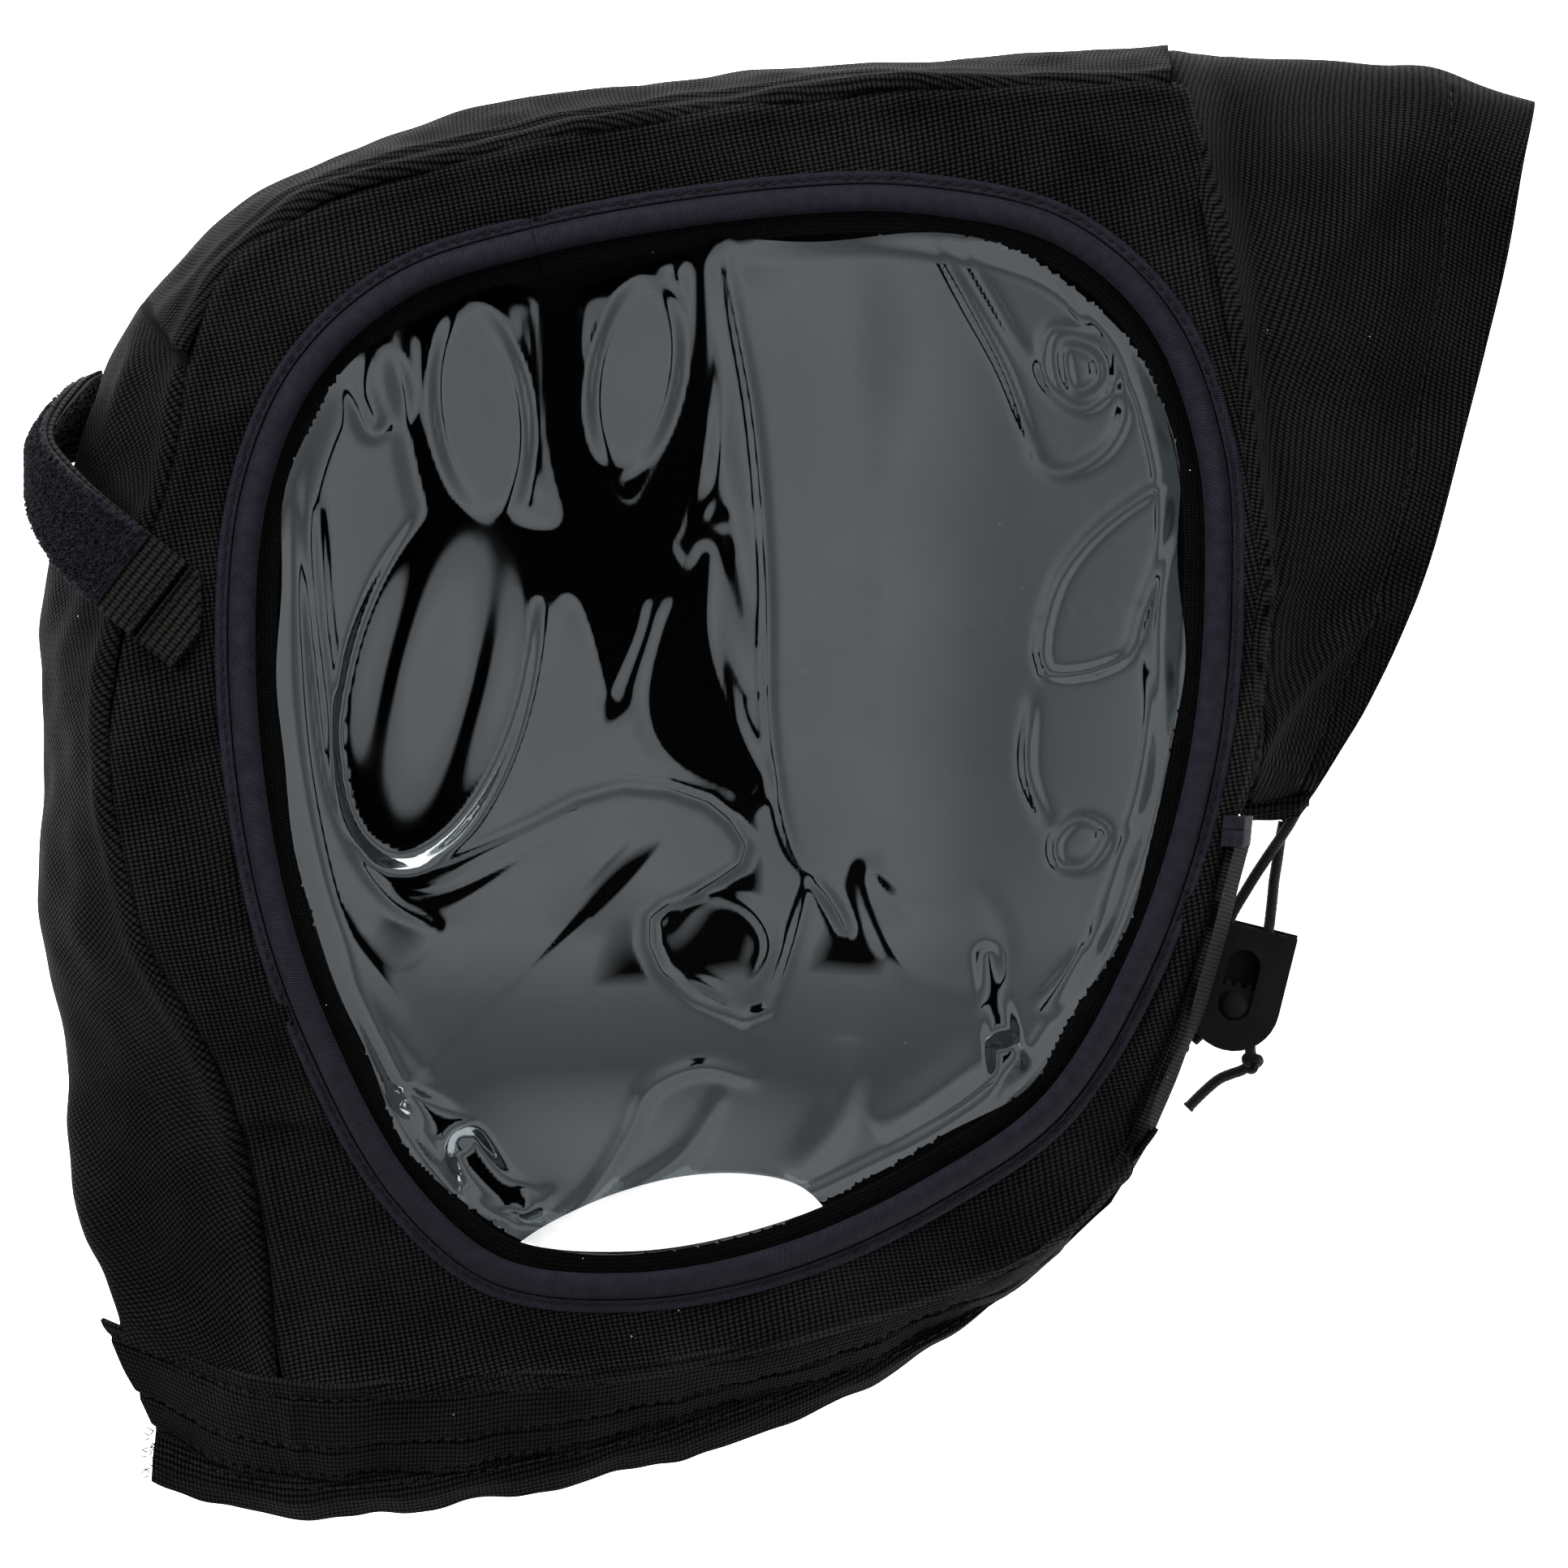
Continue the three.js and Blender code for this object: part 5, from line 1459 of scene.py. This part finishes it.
def strap_spot(along, across):
    """A place on the strap's middle layer; it crosses its own side view at a skew."""
    along, across = np.broadcast_arrays(np.asarray(along, float), np.asarray(across, float))
    straight = np.minimum(along, STRAP_STRAIGHT)
    skew = STRAP_SKEW - STRAP_BEND * np.maximum(along - STRAP_STRAIGHT, 0)
    bent_forward = (math.sin(STRAP_SKEW) - np.sin(skew)) / STRAP_BEND
    bent_sideways = (np.cos(skew) - math.cos(STRAP_SKEW)) / STRAP_BEND
    forward = STITCH_LINE + straight * math.cos(STRAP_SKEW) + bent_forward - across * np.sin(skew)
    sideways = STRAP_START_Y + straight * math.sin(STRAP_SKEW) + bent_sideways + across * np.cos(skew)
    forward = np.clip(forward, 0, STRAP_RUN[-1])
    x = np.interp(forward, STRAP_RUN, STRAP_PATH[:, 0])
    z = np.interp(forward, STRAP_RUN, STRAP_PATH[:, 1])
    x = x + STRAP_PULL * ease((sideways - 73) / 16)
    return np.stack([x, sideways, z], -1)


def strap_outward(along, across):
    """Which way the strap's outer face looks."""
    step = 0.5
    one = strap_spot(along + step, across) - strap_spot(along - step, across)
    two = strap_spot(along, across + step) - strap_spot(along, across - step)
    normal = np.cross(one, two)
    normal /= np.maximum(np.linalg.norm(normal, axis=-1, keepdims=True), 1e-9)
    middle = np.array([-140.0, 0, 28.0])
    away = strap_spot(along, across) - middle
    away[..., 1] = 0
    return normal * np.sign((normal * away).sum(-1, keepdims=True))


def strap_layer(name, first, last, half, lift, thickness, rows, columns, relief=None):
    along = np.linspace(first, last, rows)[:, None]
    across = np.linspace(-half, half, columns)[None, :]
    height = relief(along, across) if relief else 0
    outward = strap_outward(along, across)
    outer = strap_spot(along, across) + outward * (lift + height + 0 * along * across)[..., None]
    inner = strap_spot(along, across) + outward * (lift - thickness + 0 * along * across)[..., None]
    vertices = np.vstack([outer.reshape(-1, 3), inner.reshape(-1, 3)])
    top = grid_faces(rows, columns)
    faces = np.vstack([top, top[:, ::-1] + rows * columns, rim_faces(rows, columns, False)])
    if volume(vertices, faces) < 0:
        faces = faces[:, ::-1]
    uv = np.stack(np.broadcast_arrays(across, along), -1).reshape(-1, 2)
    return mesh_object(name, vertices, faces, np.vstack([uv, uv]))


def web_relief(along, across):
    """Stout ribs across the webbing that round off at its selvages."""
    weave = np.abs(np.sin(along * math.pi / WEB_RIB + (np.floor(across / 0.95) % 2) * math.pi / 2))
    edge = ease((STRAP_WIDTH / 2 - np.abs(across)) / 0.8)
    return (0.3 * weave - 0.1) * edge - 0.35 * (1 - edge)


def loops(first, last, half, lift, count, seed, tall, hooked):
    """Fibres standing on a strap layer: closed loops of pile, or stiff curved hooks."""
    draw = np.random.default_rng(seed)
    parts = []
    for _ in range(count):
        along, across = draw.uniform(first, last), draw.uniform(-half, half)
        root = strap_spot(along, across)
        up = strap_outward(along, across) * (1 if lift > 0 else -1)
        flat = strap_spot(along + 0.5, across) - strap_spot(along - 0.5, across)
        flat /= np.linalg.norm(flat)
        side = np.cross(up, flat)
        heading = draw.uniform(0, math.tau) if not hooked else draw.normal(0, 0.25)
        lean = flat * math.cos(heading) + side * math.sin(heading)
        height, reach = tall * draw.uniform(0.65, 1.25), draw.uniform(0.45, 1.1)
        share = np.linspace(0, 1, 7)
        turn = np.pi * share * (1.15 if hooked else 1.0)
        line = root + up * abs(lift) + np.outer(np.sin(turn) * height - 0.12, up)
        line += np.outer((1 - np.cos(turn)) / 2 * reach, lean) + np.outer(share * draw.normal(0, 0.25), side)
        points, faces, caps, uv = tube(line, 0.11, 4)
        parts.append((points, faces.tolist() + caps.tolist(), uv))
    return parts


def rough_base(seed, size):
    return lambda along, across: size * (waves(along, across, 1.1, seed) + waves(along, across, 2.4, seed + 1))


def strap():
    web = strap_layer("strap_webbing_cloth", 0, STRAP_LENGTH, STRAP_WIDTH / 2, WEBBING / 2, WEBBING, 620, 84, web_relief)
    finished(web, "webbing", "webbing", body="strap", replaces=["strap_webbing"])
    lift = WEBBING / 2 + 0.3 + PILE
    pile = strap_layer("strap_loop_backing", 10, STRAP_LENGTH - 1, STRAP_WIDTH / 2 - 0.4, lift - 0.25, 0.9, 420, 90,
                       rough_base(91, 0.14))
    finished(pile, "loop_pile", "pile", body="strap", replaces=["strap_loop_tape"])
    tufts = many("strap_loop_pile", loops(10.6, STRAP_LENGTH - 1.6, STRAP_WIDTH / 2 - 1.5, lift - 0.3, 5200, 92, 0.95, False))
    finished(tufts, "loop_pile", "pile", body="strap")
    under = -WEBBING / 2 - 0.3
    hook = strap_layer("strap_hook_backing", 52, STRAP_LENGTH - 1, STRAP_WIDTH / 2 - 0.6, under, 0.5, 160, 60)
    finished(hook, "hook_tape", "hook", body="strap", replaces=["strap_hook_tape"])
    spikes = many("strap_hooks", loops(52.6, STRAP_LENGTH - 1.6, STRAP_WIDTH / 2 - 1.2, under - 0.45, 1500, 93, 0.8, True))
    finished(spikes, "hook_tape", "hook", body="strap")
    seams = []
    for row in (1.6, 11.4):
        across = np.linspace(-STRAP_WIDTH / 2 + 1, STRAP_WIDTH / 2 - 1, 60)
        spots = strap_spot(row, across) + strap_outward(row, across) * (WEBBING / 2 + (1.5 if row > 10 else 0.42))
        seams += stitch_row(spots, 0.0)
    finished(many("strap_stitches", seams), "webbing", "thread", body="strap")


def strap_patch():
    along, across = np.linspace(-11.5, -1.2, 130)[:, None], np.linspace(-10, 10, 84)[None, :]
    grid = strap_spot(along, across)
    grid[..., 2] = 51.8 + WEBBING / 2 + web_relief(along, across)
    fold = np.exp(-(((along + 11.2) / 0.8) ** 2)) + np.exp(-((along + 1.2) ** 2))
    grid[..., 2] += 0.35 * fold - 0.5 * np.exp(-(((along + 2.6) / 0.45) ** 2)) + 0.2 * waves(along + 0 * across, across + 0 * along, 9, 95)
    uv = np.stack(np.broadcast_arrays(across, along), -1)
    obj = sheet_object("strap_patch_webbing", grid, uv, WEBBING * 1.2, straight=True)
    finished(obj, "webbing", "webbing", replaces=["strap_anchor_patch"])
    corners = [(-2.6, -8.8), (-2.6, 8.8), (-10.3, 8.8), (-10.3, -8.8), (-2.6, -8.8)]
    fine = np.vstack([mix(np.array(a), np.array(b), np.linspace(0, 1, 40)[:, None]) for a, b in zip(corners, corners[1:])])
    path = strap_spot(fine[:, 0], fine[:, 1])
    path[:, 2] = 51.8 + WEBBING / 2 + 0.36
    return finished(many("strap_patch_stitches", stitch_row(path, 0.0)), "webbing", "thread")


strap()
strap_patch()


# ---- cord lock: the CAD shells keep their shape and gain rounded edges ---------------------
def cord_lock():
    sizes = {"lock_rear_shell": 0.35, "lock_front_shell": 0.4, "lock_slider": 0.12, "lock_button": 0.15}
    for name, radius in sizes.items():
        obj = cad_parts[name]
        obj.data.materials.clear()
        obj.data.materials.append(LOOKS["plastic"])
        for slot in obj.material_slots:
            slot.material = LOOKS["plastic"]
        round_off = obj.modifiers.new("rounded edges", "BEVEL")
        round_off.width = radius * MM
        round_off.segments = 3
        round_off.limit_method = "ANGLE"
        round_off.angle_limit = math.radians(28)
        round_off.harden_normals = False


# ---- stage, light and surroundings ---------------------------------------------------------
def plain_floor():
    half, rise = 6.0, 0.0
    floor = mesh_object("floor", [(-half / MM, -half / MM, rise), (half / MM, -half / MM, rise),
                                  (half / MM, half / MM, rise), (-half / MM, half / MM, rise)], [[0, 1, 2, 3]])
    look = Look("floor", Roughness=0.9, Specular_IOR_Level=0.1, Emission_Strength=1.35)
    look.shader.inputs["Base Color"].default_value = (0.93, 0.93, 0.93, 1)
    look.shader.inputs["Emission Color"].default_value = (1, 1, 1, 1)
    floor.data.materials.append(look.material)


STAND_HALF = 0.042            # half width of the dark stand, as the sine of its angle
STAND_END = 0.94              # height, as a cosine, down to which the stand reaches
STAND_SOFT = 0.03


def soft_surround():
    """An even bright tent that is dark straight above, where the camera looks through."""
    world = bpy.data.worlds.new("tent")
    bpy.context.scene.world = world
    world.use_nodes = True
    tree = world.node_tree
    sky = next(n for n in tree.nodes if n.type == "BACKGROUND")
    spot = tree.nodes.new("ShaderNodeTexCoord").outputs["Generated"]
    parts = tree.nodes.new("ShaderNodeSeparateXYZ")
    tree.links.new(spot, parts.inputs[0])
    turn = tree.nodes.new("ShaderNodeMath")
    turn.operation = "ARCCOSINE"
    tree.links.new(parts.outputs[2], turn.inputs[0])
    share = tree.nodes.new("ShaderNodeMath")
    share.operation = "DIVIDE"
    tree.links.new(turn.outputs[0], share.inputs[0])
    share.inputs[1].default_value = math.pi
    ramp = tree.nodes.new("ShaderNodeValToRGB")
    tree.links.new(share.outputs[0], ramp.inputs[0])

    def measure(operation, first, second):
        made = tree.nodes.new("ShaderNodeMath")
        made.operation = operation
        for socket, value in zip(made.inputs, (first, second)):
            if isinstance(value, bpy.types.NodeSocket):
                tree.links.new(value, socket)
            else:
                socket.default_value = value
        return made.outputs[0]

    # a dark stand reaches from the opening straight above towards the neck end
    beside = measure("SUBTRACT", measure("ABSOLUTE", parts.outputs[0], 0), STAND_HALF)
    beside = measure("MAXIMUM", beside, measure("SUBTRACT", parts.outputs[1], 0.02))
    beside = measure("MAXIMUM", beside, measure("SUBTRACT", STAND_END, parts.outputs[2]))
    bright = measure("MULTIPLY", beside, 1 / STAND_SOFT)
    bright = measure("MAXIMUM", measure("MINIMUM", bright, 1.0), 0.006)
    stops = [(0.0, 0.0015), (0.019, 0.002), (0.026, 0.21), (0.06, 0.29), (0.11, 0.25), (0.17, 0.18), (0.26, 0.13),
             (0.32, 0.3), (0.5, 0.25)]
    band = ramp.color_ramp.elements
    while len(band) < len(stops):
        band.new(0.5)
    for element, (place, value) in zip(band, stops):
        element.position = place
        element.color = (value, value, value * 1.01, 1)
    tree.links.new(ramp.outputs[0], sky.inputs[0])
    tree.links.new(bright, sky.inputs[1])


def soft_box(name, place, size, power):
    data = bpy.data.lights.new(name, "AREA")
    data.shape = "RECTANGLE"
    data.size, data.size_y = size
    data.energy = power
    box = bpy.data.objects.new(name, data)
    box.location = place
    from mathutils import Vector

    box.rotation_euler = (-Vector(place)).to_track_quat("-Z", "Y").to_euler()
    box.visible_glossy = False
    bpy.context.scene.collection.objects.link(box)


cord_lock()
plain_floor()
soft_surround()
soft_box("left_box", (-1.5, 0.6, 1.5), (1.0, 1.4), 95)
soft_box("right_box", (1.4, -0.3, 1.7), (0.8, 1.4), 45)
soft_box("crown_box", (0.1, 1.9, 1.1), (1.8, 0.7), 80)
bpy.context.scene.view_settings.view_transform = "Standard"
